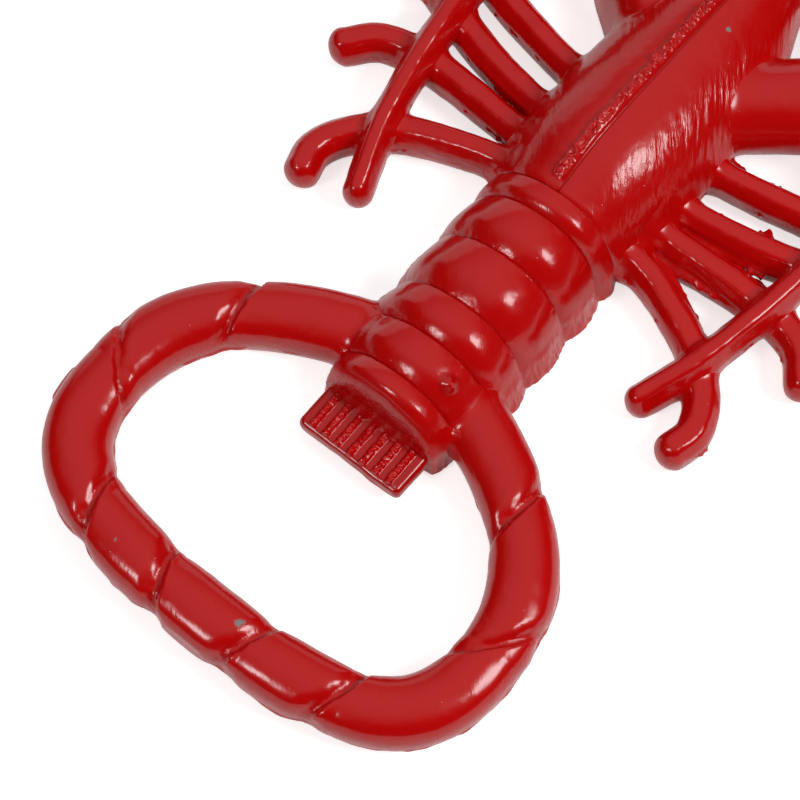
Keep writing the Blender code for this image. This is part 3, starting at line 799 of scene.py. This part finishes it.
def legBar(name, side, route):
    # a bar from inside the flank through the route's points: it sinks to the tip's height, widens
    # outwards, leans there, and ends in a round tip
    s = legs
    points = [(side * (flank - s["rootDepth"]), rear + route[0][1], s["rootHeight"])]
    for i, (out, ahead) in enumerate(route):
        height = s["rootHeight"] + (s["tipHeight"] - s["rootHeight"]) * min(1.0, i / s["dropPoints"])
        points.append((side * (flank + out), rear + ahead, height))
    path = smoothPath(points, s["spacing"])
    path, share = withTip(path, s["tipHalfWidth"] - s["tipInset"], s["spacing"])
    run = lengthsAlong(path)
    outer = ramp(run / run[-1], *s["outer"])
    path = path + outer[:, None] * np.array([*s["lean"].get(name, (0.0, 0.0)), 0.0])
    wide = s["halfWidth"] + (s["tipHalfWidth"] - s["halfWidth"]) * outer
    size = wide * share * s["slim"].get(name, 1.0), s["halfHeight"] * share
    return makeBar(path, *size, s["square"], s["draft"], s["outline"], s["softEnd"])


antennae = {
    "halfWidth": 1.85,
    "halfHeight": 3.0,
    "square": 2.8,
    "draft": 0.2,
    "outline": [(1.4, -3.0, 0.5), (1.85, -1.4, 0.6), (1.85, 0.9, 0.6), (0.85, 2.85, 0.6), (0.0, 3.0, 0.5)],
    "softEnd": 4.0,
    "seamDepth": 0.4,
    # out from the flank, forward of the rear edge, and up to the bar's middle, as the part's own route
    "route": [
        (10.2, -10.8, 3.1), (12.7, -4.0, 4.3), (14.4, 3.0, 5.0), (15.7, 11.0, 5.4), (16.4, 18.0, 5.8),
        (15.8, 26.0, 8.6), (12.2, 33.5, 12.0), (6.0, 40.5, 10.8), (-1.5, 45.0, 7.4), (-8.75, 44.0, 5.6),
    ],
    "spacing": 0.18,
    "around": 96,
    "flash": 0.3,
}


def antennaBar(side):
    # a bar of one size along its route, from the brow to the round tip over the legs
    s = antennae
    points = [(side * (flank + out), rear + ahead, height) for out, ahead, height in s["route"]]
    path = smoothPath(points[::-1], s["spacing"])
    path, share = withTip(path, s["halfWidth"], s["spacing"])
    size = s["halfWidth"] * share, s["halfHeight"] * share
    return makeBar(path, *size, s["square"], s["draft"], s["outline"], s["softEnd"])


claws = {
    "armRadius": 5.7,
    "armClear": 0.3,  # above the table
    "armSquare": 2.0,
    "armAngle": 39.6,
    "armPlace": 28.4,  # forward of the rear edge
    "armReach": 19.0,
    # shares of the reach and of the radius
    "armBulge": [
        (-0.47, 1.0), (0.0, 1.0), (0.3, 1.01), (0.44, 0.93),
        (0.62, 1.05), (0.8, 1.0), (0.95, 0.84), (1.06, 0.4),
    ],
    # half the left arm's section, as for the ring; the right one is round
    "armOutline": [(5.7, -5.7, 0.6), (5.3, -1.0, 3.0), (4.6, 2.6, 2.5), (2.8, 5.1, 2.2), (0.0, 5.7, 2.0)],
    "armSoft": 12.0,  # over this length the left arm turns round, towards its wrist
    "armLean": {"left": (2.1, 1.75)},  # how far the root of an arm lies off its mirror place
    "wristShare": 0.9,
    "length": 44.0,
    "palmHalf": 9.5,
    "halfThick": 6.2,
    # ahead of the wrist and out from it, as shares of the length, and the share of the palm's half width
    "palm": [
        (0.0, 0.0, 0.4), (0.1, 0.045, 0.62), (0.25, 0.085, 0.9), (0.42, 0.1, 1.0), (0.56, 0.11, 0.86),
        (0.66, 0.125, 0.56), (0.8, 0.115, 0.44), (0.92, 0.06, 0.33), (1.0, -0.01, 0.2),
    ],
    "fingerLength": 24.0,
    "fingerHalf": 3.7,
    "fingerHigh": 4.05,
    "fingerSpread": 8.6,
    "finger": [(-0.2, 0.35, 0.8), (0.12, 0.85, 1.0), (0.42, 1.12, 0.92), (0.72, 1.0, 0.7), (1.0, 0.55, 0.36)],
    "square": 2.3,
    "uneven": 1.2,
    "spacing": 0.28,
    "around": 110,
}


def armPlace(side, reach, height):
    # a place on the arm's straight line, by the reach out from the flank
    angle = math.radians(claws["armAngle"])
    x = flank + reach * math.cos(angle)
    return np.array([side * x, rear + claws["armPlace"] + reach * math.sin(angle), height])


def stationed(path, points, shares):
    # a share for each path point, from the shares at the points that the path goes through
    at = [np.linalg.norm(path - point, axis=1).argmin() for point in np.array(points, float)]
    run = lengthsAlong(path)
    return splineAt(run, np.stack([run[at], shares], 1))


def armBar(side, lean):
    # a bar along that line, its radius following the bulge, and its root shifted by the lean
    s = claws
    middle = s["armRadius"] + s["armClear"]
    points = [armPlace(side, share * s["armReach"], middle) for share, _ in s["armBulge"]]
    path = smoothPath(points, s["spacing"])
    size = s["armRadius"] * stationed(path, points, [share for _, share in s["armBulge"]])
    run = lengthsAlong(path)
    path = path + (1 - smoothStep(2 * run / run[-1] - 1))[:, None] * np.array([*lean, 0.0])
    outline = s["armOutline"] if side < 0 else None
    return makeBar(path, size, size, s["armSquare"], 0.0, outline, s["armSoft"])


def taperedBar(points, shares, half, high):
    # a bar through the points, with a share of its half sizes at each, and a round tip
    s = claws
    path = smoothPath(points, s["spacing"])
    size = stationed(path, points, shares)
    path, share = withTip(path, half * size[-1], s["spacing"])
    size = np.append(size, np.full(len(path) - len(size), size[-1])) * share
    return makeBar(path, half * size, high * size, s["square"])


def clawBars(side):
    # the palm that runs on into the fixed finger, and the other finger beside it
    s = claws
    wrist = armPlace(side, s["wristShare"] * s["armReach"], s["halfThick"])
    knuckle = wrist + (0.0, s["length"] - s["fingerLength"], 0.0)
    palm = [wrist + s["length"] * np.array([side * out, ahead, 0.0]) for ahead, out, _ in s["palm"]]
    finger = [
        knuckle + np.array([-side * out * s["fingerSpread"], ahead * s["fingerLength"], 0.0])
        for ahead, out, _ in s["finger"]
    ]
    palmShares, fingerShares = ([row[2] for row in s[key]] for key in ("palm", "finger"))
    return (
        taperedBar(palm, palmShares, s["palmHalf"], s["halfThick"]),
        taperedBar(finger, fingerShares, s["fingerHalf"], s["fingerHigh"]),
    )


carapaceSkin, abdomenSkin = carapaceGrid(), abdomenGrid()
bodies = {"carapace": makeBody(carapaceSkin), "abdomen": makeBody(abdomenSkin[::-1])}
bars = {"tail_ring": ringBar()}
for sideName, side in sides.items():
    for number, route in enumerate(legs["routes"]):
        name = f"{sideName}_leg_{number + 1}"
        bars[name] = legBar(name, side, route)
    bars[sideName + "_antenna"] = antennaBar(side)
    bars[sideName + "_claw_arm"] = armBar(side, claws["armLean"].get(sideName, (0.0, 0.0)))
    bars[sideName + "_claw"], bars[sideName + "_claw_finger"] = clawBars(side)


legNumbers = range(1, len(legs["routes"]) + 1)
# reach of the fillet where one member meets another
fillets = {
    "legBody": 1.8, "legTail": 1.6, "legLeg": 1.6, "legAntenna": 1.3,
    "antennaBody": 1.2, "antennaArm": 1.2, "antennaClaw": 1.0,
    "armBody": 0.8, "armAntenna": 1.0, "armClaw": 1.6, "clawFinger": 1.4,
    "tailRing": 1.2, "ringTail": 1.4, "eyeBody": 0.8,
}


def risesTo(grid, neighbours):
    # total rise of a skin towards its neighbours, each with the reach of its fillet
    total = np.zeros(grid.shape[:2])
    for name, reach in neighbours.items():
        gap = gapToBody(grid, bodies[name]) if name in bodies else gapToBar(grid, bars[name], reach)
        total += filletSwell(gap, reach)
    return total


uneven = [(0.04, 2.9, 0.0), (0.015, 1.1, 7.0), (0.008, 0.5, 0.0)]  # height, cell and shift of each layer


def coatRelief(grid):
    # slow unevenness of the casting under its coat
    return sum(rough(grid + shift, height, cell) for height, cell, shift in uneven)


coat = redEnamel()


# Carapace

def buildCarapace():
    # the shell with its rough strip, the furrow beside it and brush strokes over the flanks
    s = carapace
    grid = carapaceSkin
    x, y, z = np.moveaxis(grid, -1, 0)
    ahead = y - rear
    wander = rough(grid, *s["wander"])
    high = z > s["backHeight"]
    onBack = high * smoothStep(ahead - s["ridgeStart"])
    strip = smoothStep((x - s["stripLeft"] + wander) / s["stripEdge"])
    strip = strip * smoothStep((s["stripRight"] - x + wander) / s["stripEdge"] + 1) * onBack
    slope = unit((s["furrow"] - x) / (s["furrow"] - s["stripRight"])) * (x > s["stripRight"])
    furrow = bell(x - s["furrow"], np.where(x < s["furrow"], *s["furrowWidths"])) * high
    grain = np.maximum(noiseAt(grid, s["ridgeGrain"]), s["grainFloor"])
    grain += rough(grid + 3.0, *s["fineGrain"])
    onFlank = ramp(np.abs(x), *s["flank"]) * (z > s["flankFoot"])
    onFlank *= np.where(x > 0, 1.0, s["strokesLeft"])
    relief = np.maximum(strip, slope * onBack) * s["ridgeHeight"]
    relief += s["grainRelief"] * strip * grain - s["furrowDepth"] * furrow
    relief += onFlank * s["strokeRelief"] * noiseAt(turned(grid, strokeHeading) / s["strokes"], 1.0)
    relief += coatRelief(grid) * (1 - strip)
    relief -= s["edgeDrop"] * unit(1 - ahead / s["edgeRun"]) ** 2
    neighbours = {}
    for sideName in sides:
        neighbours[sideName + "_claw_arm"] = fillets["armBody"]
        for number in legNumbers:
            neighbours[f"{sideName}_leg_{number}"] = fillets["legBody"]
    relief += risesTo(grid, neighbours)
    # painted shade darkens the furrow
    finishPiece("carapaceShell", "carapace", grid, relief, strip, s["furrowShade"] * furrow, onFlank)


buildCarapace()


# Abdomen

# a cast pimple on the fifth segment, with a ring of painted shade round it and a scuffed patch outside that
bead = {
    "place": (4.7, -49.7),
    "above": 5.0,
    "radius": 0.65,
    "height": 0.75,
    "rim": 0.9,
    # width of the painted shade ring
    "paintedShade": 0.4,
    "scuff": 1.7,
}


def buildAbdomen():
    # the segments with their gritty grooves, the rough flaps and the pimple
    s = abdomen
    grid = abdomenSkin
    x, y, z = np.moveaxis(grid, -1, 0)
    _, through = bandPlace(rear - y)
    front, back = s["grooveWidths"]
    behind = y < rear
    groove = np.maximum(bell(through, front), bell(through - 1.0, back)) * behind
    groove = groove * (y > tailEnd + s["grooveEnd"])
    flap = ramp(z, *s["rough"]) * behind
    endFace = ramp(y - tailEnd, *s["endFace"])
    away = np.hypot(x - bead["place"][0], y - bead["place"][1])
    near = z > bead["above"]
    relief = coatRelief(grid) + rough(grid, *s["grooveGrain"]) * groove
    relief += s["roughRelief"] * flap * noiseAt(grid / s["roughCells"], 1.0)
    relief += bead["height"] * bell(away, bead["radius"]) * near
    legReach = {f"{sideName}_leg_{legNumbers[-1]}": fillets["legTail"] for sideName in sides}
    relief += risesTo(grid, {"tail_ring": fillets["tailRing"], **legReach})
    scuff = bell(away, bead["scuff"]) * (away > bead["rim"])
    grit = s["grit"]["groove"] * groove + s["grit"]["end"] * endFace
    grit = grit + s["grit"]["bead"] * scuff + s["grit"]["flap"] * flap
    # painted shade: darker in the grooves and in a ring round the pimple
    paintedShade = s["paintedShade"]["groove"] * groove + s["paintedShade"]["bead"] * bell(away - bead["rim"], bead["paintedShade"]) * near
    finishPiece("abdomenShell", "abdomen", grid, relief, grit, paintedShade, s["brush"])


buildAbdomen()


# Opener lip

lip = {
    "width": 15.0,
    "top": 4.3,
    "thickness": 2.4,
    "corner": 0.8,
    "root": 5.0,
    "ridges": 7,
    "pitch": 1.85,
    "ridgeWidth": 0.85,
    "ridgeRear": 0.3,  # from the tip to a ridge's near end, and to its far end
    "ridgeFront": 5.6,
    "rowShift": -0.3,
    "lean": (-0.25, 0.15),  # how far the lip lies off its mirror place
    "ridgeHeight": 0.22,
    "beadHeight": 0.3,
    "beadPitch": 0.72,  # knobs that the mould left along each ridge
    "beadStagger": 0.37,
    "beadLong": 0.55,
    "beadShift": 0.2,
    "beadVary": 0.5,
    "beadSeed": (1.7, 1.3),  # steps through the noise from ridge to ridge and from knob to knob
    "ridgeEdge": 0.3,
    "ridgeEnds": 0.35,
    "ridgeGrain": (0.16, 0.3),
    "uneven": (0.12, 1.6),
    "sideFrom": 6.7,  # the sides are rounded from here outwards
    "sideRun": 0.8,
    "tipThin": 0.8,
    "crowding": 1.4,  # rings lie closer towards the tip
    "grit": 0.5,
    # painted shade: how much darker the top is between the ridges
    "paintedShade": 0.6,
    "rings": 130,
    "around": 330,
}


def buildLip():
    # flat bar with rounded sides: its section in X and Z is carried along Y, and rounded off at the tip;
    # ridges with knobs stand on its top
    s = lip
    depth = np.linspace(0.0, 1.0, s["rings"])[:, None] ** s["crowding"] * (tailEnd + s["root"] - lipTip)
    short = 1 - unit(depth / s["corner"])
    inset = s["corner"] * (1 - np.sqrt(unit(1 - short ** 2)))
    half = s["width"] / 2 - inset
    thick = s["thickness"] / 2 - s["tipThin"] * inset
    above = np.linspace(-1.0, 1.0, s["around"] * 2 // 3)
    below = np.linspace(1.0, -1.0, s["around"] - len(above) + 2)[1:-1]
    across = np.concatenate([above, below])
    onTop = np.arange(s["around"]) < len(above)
    outer = unit((np.abs(across) * s["width"] / 2 - s["sideFrom"]) / s["sideRun"])
    bulge = np.sqrt(unit(1 - outer ** 2))
    z = s["top"] - s["thickness"] / 2 + thick * bulge * np.where(onTop, 1, -1)
    x = half * across + s["lean"][0]
    y = np.broadcast_to(lipTip + s["lean"][1] + depth, x.shape)
    grid = np.stack([x, y, z], -1)
    place = (x - s["rowShift"]) / s["pitch"] + s["ridges"] / 2
    number = np.floor(place)
    aside = (place - number - 0.5) * s["pitch"]
    bar = smoothStep((s["ridgeWidth"] / 2 - np.abs(aside)) / s["ridgeEdge"] + 0.5)
    length = ramp(depth, s["ridgeRear"], s["ridgeEnds"]) * ramp(depth, s["ridgeFront"], -s["ridgeEnds"])
    ridge = bar * length * ((number >= 0) & (number < s["ridges"])) * onTop
    along = depth / s["beadPitch"] + s["beadStagger"] * number
    knob = np.floor(along)
    stepX, stepY = s["beadSeed"]
    jitter = noiseAt(np.stack([number * stepX, knob * stepY, 0.0 * x], -1), 1.0)
    offset = ((along - knob - 0.5) / s["beadLong"]) ** 2
    offset = offset + ((aside - s["beadShift"] * jitter) / (0.5 * s["ridgeWidth"])) ** 2
    beads = np.sqrt(unit(1 - offset)) * (1 + s["beadVary"] * jitter)
    relief = ridge * (s["ridgeHeight"] + s["beadHeight"] * beads + rough(grid, *s["ridgeGrain"]))
    relief += rough(grid, *s["uneven"])
    # painted shade darkens the top between the ridges
    finishPiece("openerLip", "opener_lip", grid, relief, s["grit"] * ridge, s["paintedShade"] * onTop * (1 - ridge))


buildLip()


# Tail ring

def buildRing():
    # the bar's skin, swelling along each lobe and cut by slanted grooves: a crisp wall on one side,
    # a gritty floor, and a round shoulder on the other
    s = ring
    bar = bars["tail_ring"]
    grid, across, upward = barGrid(bar, s["around"])
    run = bar["run"][:, None] - s["rootReach"]
    half = bar["run"][-1] / 2 - s["rootReach"]
    fromRoot = np.where(run > half, 2 * half - run, run)
    dent, grit, lobe = (np.zeros(grid.shape[:2]) for _ in range(3))
    onTop = ramp(upward, *s["top"])
    wander = rough(grid, *s["wander"])
    for sideName, grooves in s["grooves"].items():
        here = (run > half) if sideName == "left" else (run <= half)
        bounds = [s["firstLobe"], *[share for share, _, _, _ in grooves], 2 - grooves[-1][0]]
        for start, stop in zip(bounds, bounds[1:]):
            between = unit((fromRoot / half - start) / (stop - start))
            lobe = np.where(here, np.maximum(lobe, np.sin(np.pi * between) ** s["swellPower"]), lobe)
        for share, slant, depth, crisp in grooves:
            away = (fromRoot - share * half - across * math.tan(math.radians(slant))) * crisp + wander
            sharp = unit(1 - away / s["crispRun"])
            gentle = unit(1 + (away + s["floorRun"]) / s["roundRun"]) ** 2
            beside = s["sideCut"] * bell(away + s["sideShift"], s["sideWidth"]) * (1 - onTop)
            cut = (np.where(away > 0, sharp, gentle) * onTop + beside) * here
            cut = cut * np.where(across > 0, 1 - s["innerFade"] * (1 - onTop), 1.0)
            dent = np.maximum(dent, depth * cut)
            grit = np.maximum(grit, bell(away + 0.5 * s["floorRun"], s["gritWidth"]) * here)
    grain = noiseAt(grid, s["grainCell"]) + rough(grid + 5.0, *s["fineGrain"])
    relief = s["swell"] * (lobe - s["swellMean"]) - dent + grit * s["grainRelief"] * grain + coatRelief(grid)
    seam = bell(upward + s["seamDepth"], s["seamWidth"]) * (np.abs(across) > s["seamOut"])
    relief += s["seamHeight"] * seam * unit(s["seamLeast"] + noiseAt(grid, s["seamCell"]))
    low = ramp(upward, *s["sliverTop"]) * (across < -s["sliverOut"])
    for spot, size in s["slivers"]:
        along = np.linalg.norm(grid[..., :2] - spot, axis=2) / size
        relief += s["sliver"] * low * ramp(along, *s["sliverEnd"])
    relief += risesTo(grid, {"abdomen": fillets["ringTail"]})
    # painted shade darkens the groove dents
    finishPiece("tailRing", "tail_ring", grid, relief, grit, s["paintedShade"] * unit(dent), s["brush"])


buildRing()


# Legs and antennae

limbs = {
    "uneven": 2.0,
    "webs": (0.6, -0.8),  # they lie below this height
    # ragged fin of flash along the parting line, where the two halves of the mould met, but not round the tip
    "finThick": 0.24,
    "finStop": (3.0, 2.0),
    "finCell": 1.4,
    "finFine": (0.5, 0.5),
    "finLeast": 0.15,
}


def buildLimb(name, label, s, neighbours, webs, finSize):
    # a leg or an antenna: its bar with fillets, webs and the fin
    bar = bars[name]
    grid, _, upward = barGrid(bar, s["around"])
    relief = risesTo(grid, neighbours) + limbs["uneven"] * coatRelief(grid)
    relief += ramp(upward, *limbs["webs"]) * risesTo(grid, webs)
    left = bar["run"][-1] - bar["run"]
    band = bell(upward + s["seamDepth"], limbs["finThick"]) * ramp(left, *limbs["finStop"])[:, None]
    ragged = noiseAt(grid, limbs["finCell"]) + rough(grid, *limbs["finFine"]) - limbs["finLeast"]
    relief += band * finSize * unit(ragged)
    finishPiece(label, name, grid, relief)


def buildLeg(sideName, number):
    s = legs
    name = f"{sideName}_leg_{number}"
    neighbours = {"carapace": fillets["legBody"], sideName + "_antenna": fillets["legAntenna"]}
    if number == legNumbers[-1]:
        neighbours["abdomen"] = fillets["legTail"]
    for other in (number - 1, number + 1):
        if other in legNumbers:
            neighbours[f"{sideName}_leg_{other}"] = fillets["legLeg"]
    finSize = s["flash"].get(name, s["flashElsewhere"])
    buildLimb(name, f"{sideName}Leg{number}", s, neighbours, s["webs"].get(name, {}), finSize)


def buildAntenna(sideName):
    neighbours = {f"{sideName}_leg_{number}": fillets["legAntenna"] for number in legNumbers}
    neighbours["carapace"] = fillets["antennaBody"]
    neighbours[sideName + "_claw_arm"] = fillets["antennaArm"]
    neighbours[sideName + "_claw"] = fillets["antennaClaw"]
    buildLimb(sideName + "_antenna", sideName + "Antenna", antennae, neighbours, {}, antennae["flash"])


# Claws and eyes

def buildClaw(sideName):
    # the skins of the arm, the palm and the finger, each rising to the next
    arm, claw, finger = (sideName + node for node in ("_claw_arm", "_claw", "_claw_finger"))
    antenna = sideName + "_antenna"
    rises = {
        arm: {"carapace": fillets["armBody"], claw: fillets["armClaw"], antenna: fillets["armAntenna"]},
        claw: {arm: fillets["armClaw"], finger: fillets["clawFinger"]},
        finger: {claw: fillets["clawFinger"]},
    }
    for (node, neighbours), label in zip(rises.items(), ("ClawArm", "Claw", "ClawFinger")):
        grid = barGrid(bars[node], claws["around"])[0]
        relief = risesTo(grid, neighbours) + claws["uneven"] * coatRelief(grid)
        finishPiece(sideName + label, node, grid, relief)


eyes = {"apart": 4.0, "pole": 0.02, "uneven": 0.5, "rings": 40, "around": 60}


def buildEye(sideName):
    # ball: latitude rings about the CAD ball's own middle, run out to where it seats on the brow
    s = eyes
    low, high = boxOf(sideName + "_eye")
    radius = (high - low).max() / 2
    middle = np.array([sides[sideName] * s["apart"], high[1] - radius, high[2] - radius])
    polar = np.linspace(s["pole"], np.pi - s["pole"], s["rings"])[:, None]
    angle = 2 * np.pi * np.arange(s["around"]) / s["around"]
    level = np.sin(polar)
    ball = np.stack([level * np.cos(angle), level * np.sin(angle), np.cos(polar) + 0 * angle], -1)
    grid = middle + radius * ball
    relief = risesTo(grid, {"carapace": fillets["eyeBody"]}) + s["uneven"] * coatRelief(grid)
    finishPiece(sideName + "Eye", sideName + "_eye", grid, relief)


for sideName in sides:
    for number in legNumbers:
        buildLeg(sideName, number)
    buildAntenna(sideName)
    buildClaw(sideName)
    buildEye(sideName)


# Table, light and camera

studio = {
    "table": "#E6E6E6",
    "tableRough": 0.6,
    "tableSize": 3000.0,
    "tableGlow": 0.7,  # keeps the table white in the picture, without lighting the object
    "mirrored": 0.5,  # the share of that in reflections
    # a light tent: brightest towards this heading, falling off to the fill at the sides
    "tent": (0.0, 0.25, 0.97),
    "tentGlow": 0.54,
    "tentSpread": 0.5,  # cosine of the angle where the glow has gone
    "fill": 0.03,
    # direction as right, up the picture and above the table; distance; size; radiance
    "lamps": {
        "backdrop": ((0.0, 0.97, 0.22), 900.0, (1500.0, 460.0), 0.65),
        "rightKey": ((0.64, -0.2, 0.72), 600.0, (200.0, 200.0), 14.0),
        "leftKey": ((-0.62, -0.45, 0.6), 600.0, (130.0, 130.0), 15.5),
    },
}
shot = {
    "turn": 39.5834,  # the camera's right, from +X
    "tilt": 67.7767,  # above the table
    "roll": -0.177,
    "target": (-1.157, -51.343, 0.0),
    "distance": 359.025,
    "lens": 138.2,
    "sensor": 36.0,
    "near": 10.0,
}
turn, tilt, roll = (math.radians(shot[key]) for key in ("turn", "tilt", "roll"))
rightward = Vector((math.cos(turn), math.sin(turn), 0.0))
backward = Vector((-math.sin(turn), math.cos(turn), 0.0))
upward = Vector((0.0, 0.0, 1.0))
target = Vector(shot["target"])


def makeTable():
    # a flat square that glows for the camera and in reflections alone
    half = studio["tableSize"] / 2 * mm
    mesh = bpy.data.meshes.new("table")
    corners = [(-half, -half, 0), (half, -half, 0), (half, half, 0), (-half, half, 0)]
    mesh.from_pydata(corners, [], [(0, 1, 2, 3)])
    material = bpy.data.materials.new("whiteTable")
    material.use_nodes = True
    tree = material.node_tree
    surface = tree.nodes["Principled BSDF"]
    surface.inputs["Base Color"].default_value = linear(studio["table"])
    surface.inputs["Roughness"].default_value = studio["tableRough"]
    seen = addNode(tree, "LightPath", {}, {})
    share = {"operation": "MULTIPLY_ADD", 1: studio["mirrored"]}
    links = {0: seen.outputs["Is Glossy Ray"], 2: seen.outputs["Is Camera Ray"]}
    direct = addNode(tree, "Math", share, links)
    share = {"operation": "MULTIPLY", 1: studio["tableGlow"]}
    glow = addNode(tree, "Math", share, {0: direct.outputs["Value"]})
    surface.inputs["Emission Color"].default_value = (1.0, 1.0, 1.0, 1.0)
    tree.links.new(glow.outputs["Value"], surface.inputs["Emission Strength"])
    mesh.materials.append(material)
    placed("table", mesh)


def aimed(heading):  # a heading in the picture's terms, as a direction
    return (rightward * heading[0] + backward * heading[1] + upward * heading[2]).normalized()


def makeTent():
    # soft light from all round: a smooth rise from the fill to the glow towards one heading
    world = bpy.data.worlds.new("lightTent")
    world.use_nodes = True
    tree = world.node_tree
    heading = addNode(tree, "TexCoord", {}, {}).outputs["Generated"]
    towards = {"operation": "DOT_PRODUCT", 1: aimed(studio["tent"])}
    near = addNode(tree, "VectorMath", towards, {0: heading})
    rise = {
        "interpolation_type": "SMOOTHSTEP",
        "From Min": studio["tentSpread"],
        "To Min": studio["fill"],
        "To Max": studio["fill"] + studio["tentGlow"],
    }
    glow = addNode(tree, "MapRange", rise, {"Value": near.outputs["Value"]})
    background = tree.nodes["Background"]
    background.inputs["Color"].default_value = (1.0, 1.0, 1.0, 1.0)
    tree.links.new(glow.outputs["Result"], background.inputs["Strength"])
    bpy.context.scene.world = world


def makeLamp(name, heading, distance, size, radiance):
    # a soft box aimed at the target; a square metre of lamp gives pi watts for each unit of radiance
    lamp = bpy.data.lights.new(name, "AREA")
    lamp.shape = "RECTANGLE"
    lamp.size, lamp.size_y = size[0] * mm, size[1] * mm
    lamp.energy = radiance * math.pi * lamp.size * lamp.size_y
    holder = placed(name, lamp)
    spot = target + aimed(heading) * distance
    holder.location = spot * mm
    holder.rotation_euler = (target - spot).to_track_quat("-Z", "Y").to_euler()


def makeCamera():
    # looks at the target from a distance, turned, tilted down and rolled as the photo was taken
    forward = backward * math.cos(tilt) - upward * math.sin(tilt)
    above = backward * math.sin(tilt) + upward * math.cos(tilt)
    right = rightward * math.cos(roll) + above * math.sin(roll)
    above = above * math.cos(roll) - rightward * math.sin(roll)
    data = bpy.data.cameras.new("camera")
    data.lens, data.sensor_width = shot["lens"], shot["sensor"]
    data.clip_start = shot["near"] * mm
    camera = placed("camera", data)
    camera.matrix_world = Matrix((right, above, -forward)).transposed().to_4x4()
    camera.location = (target - forward * shot["distance"]) * mm
    bpy.context.scene.camera = camera


makeTable()
for name, lampSettings in studio["lamps"].items():
    makeLamp(name, *lampSettings)
makeCamera()
makeTent()
bpy.context.scene.view_settings.view_transform = "Standard"
print("table, light and camera set")
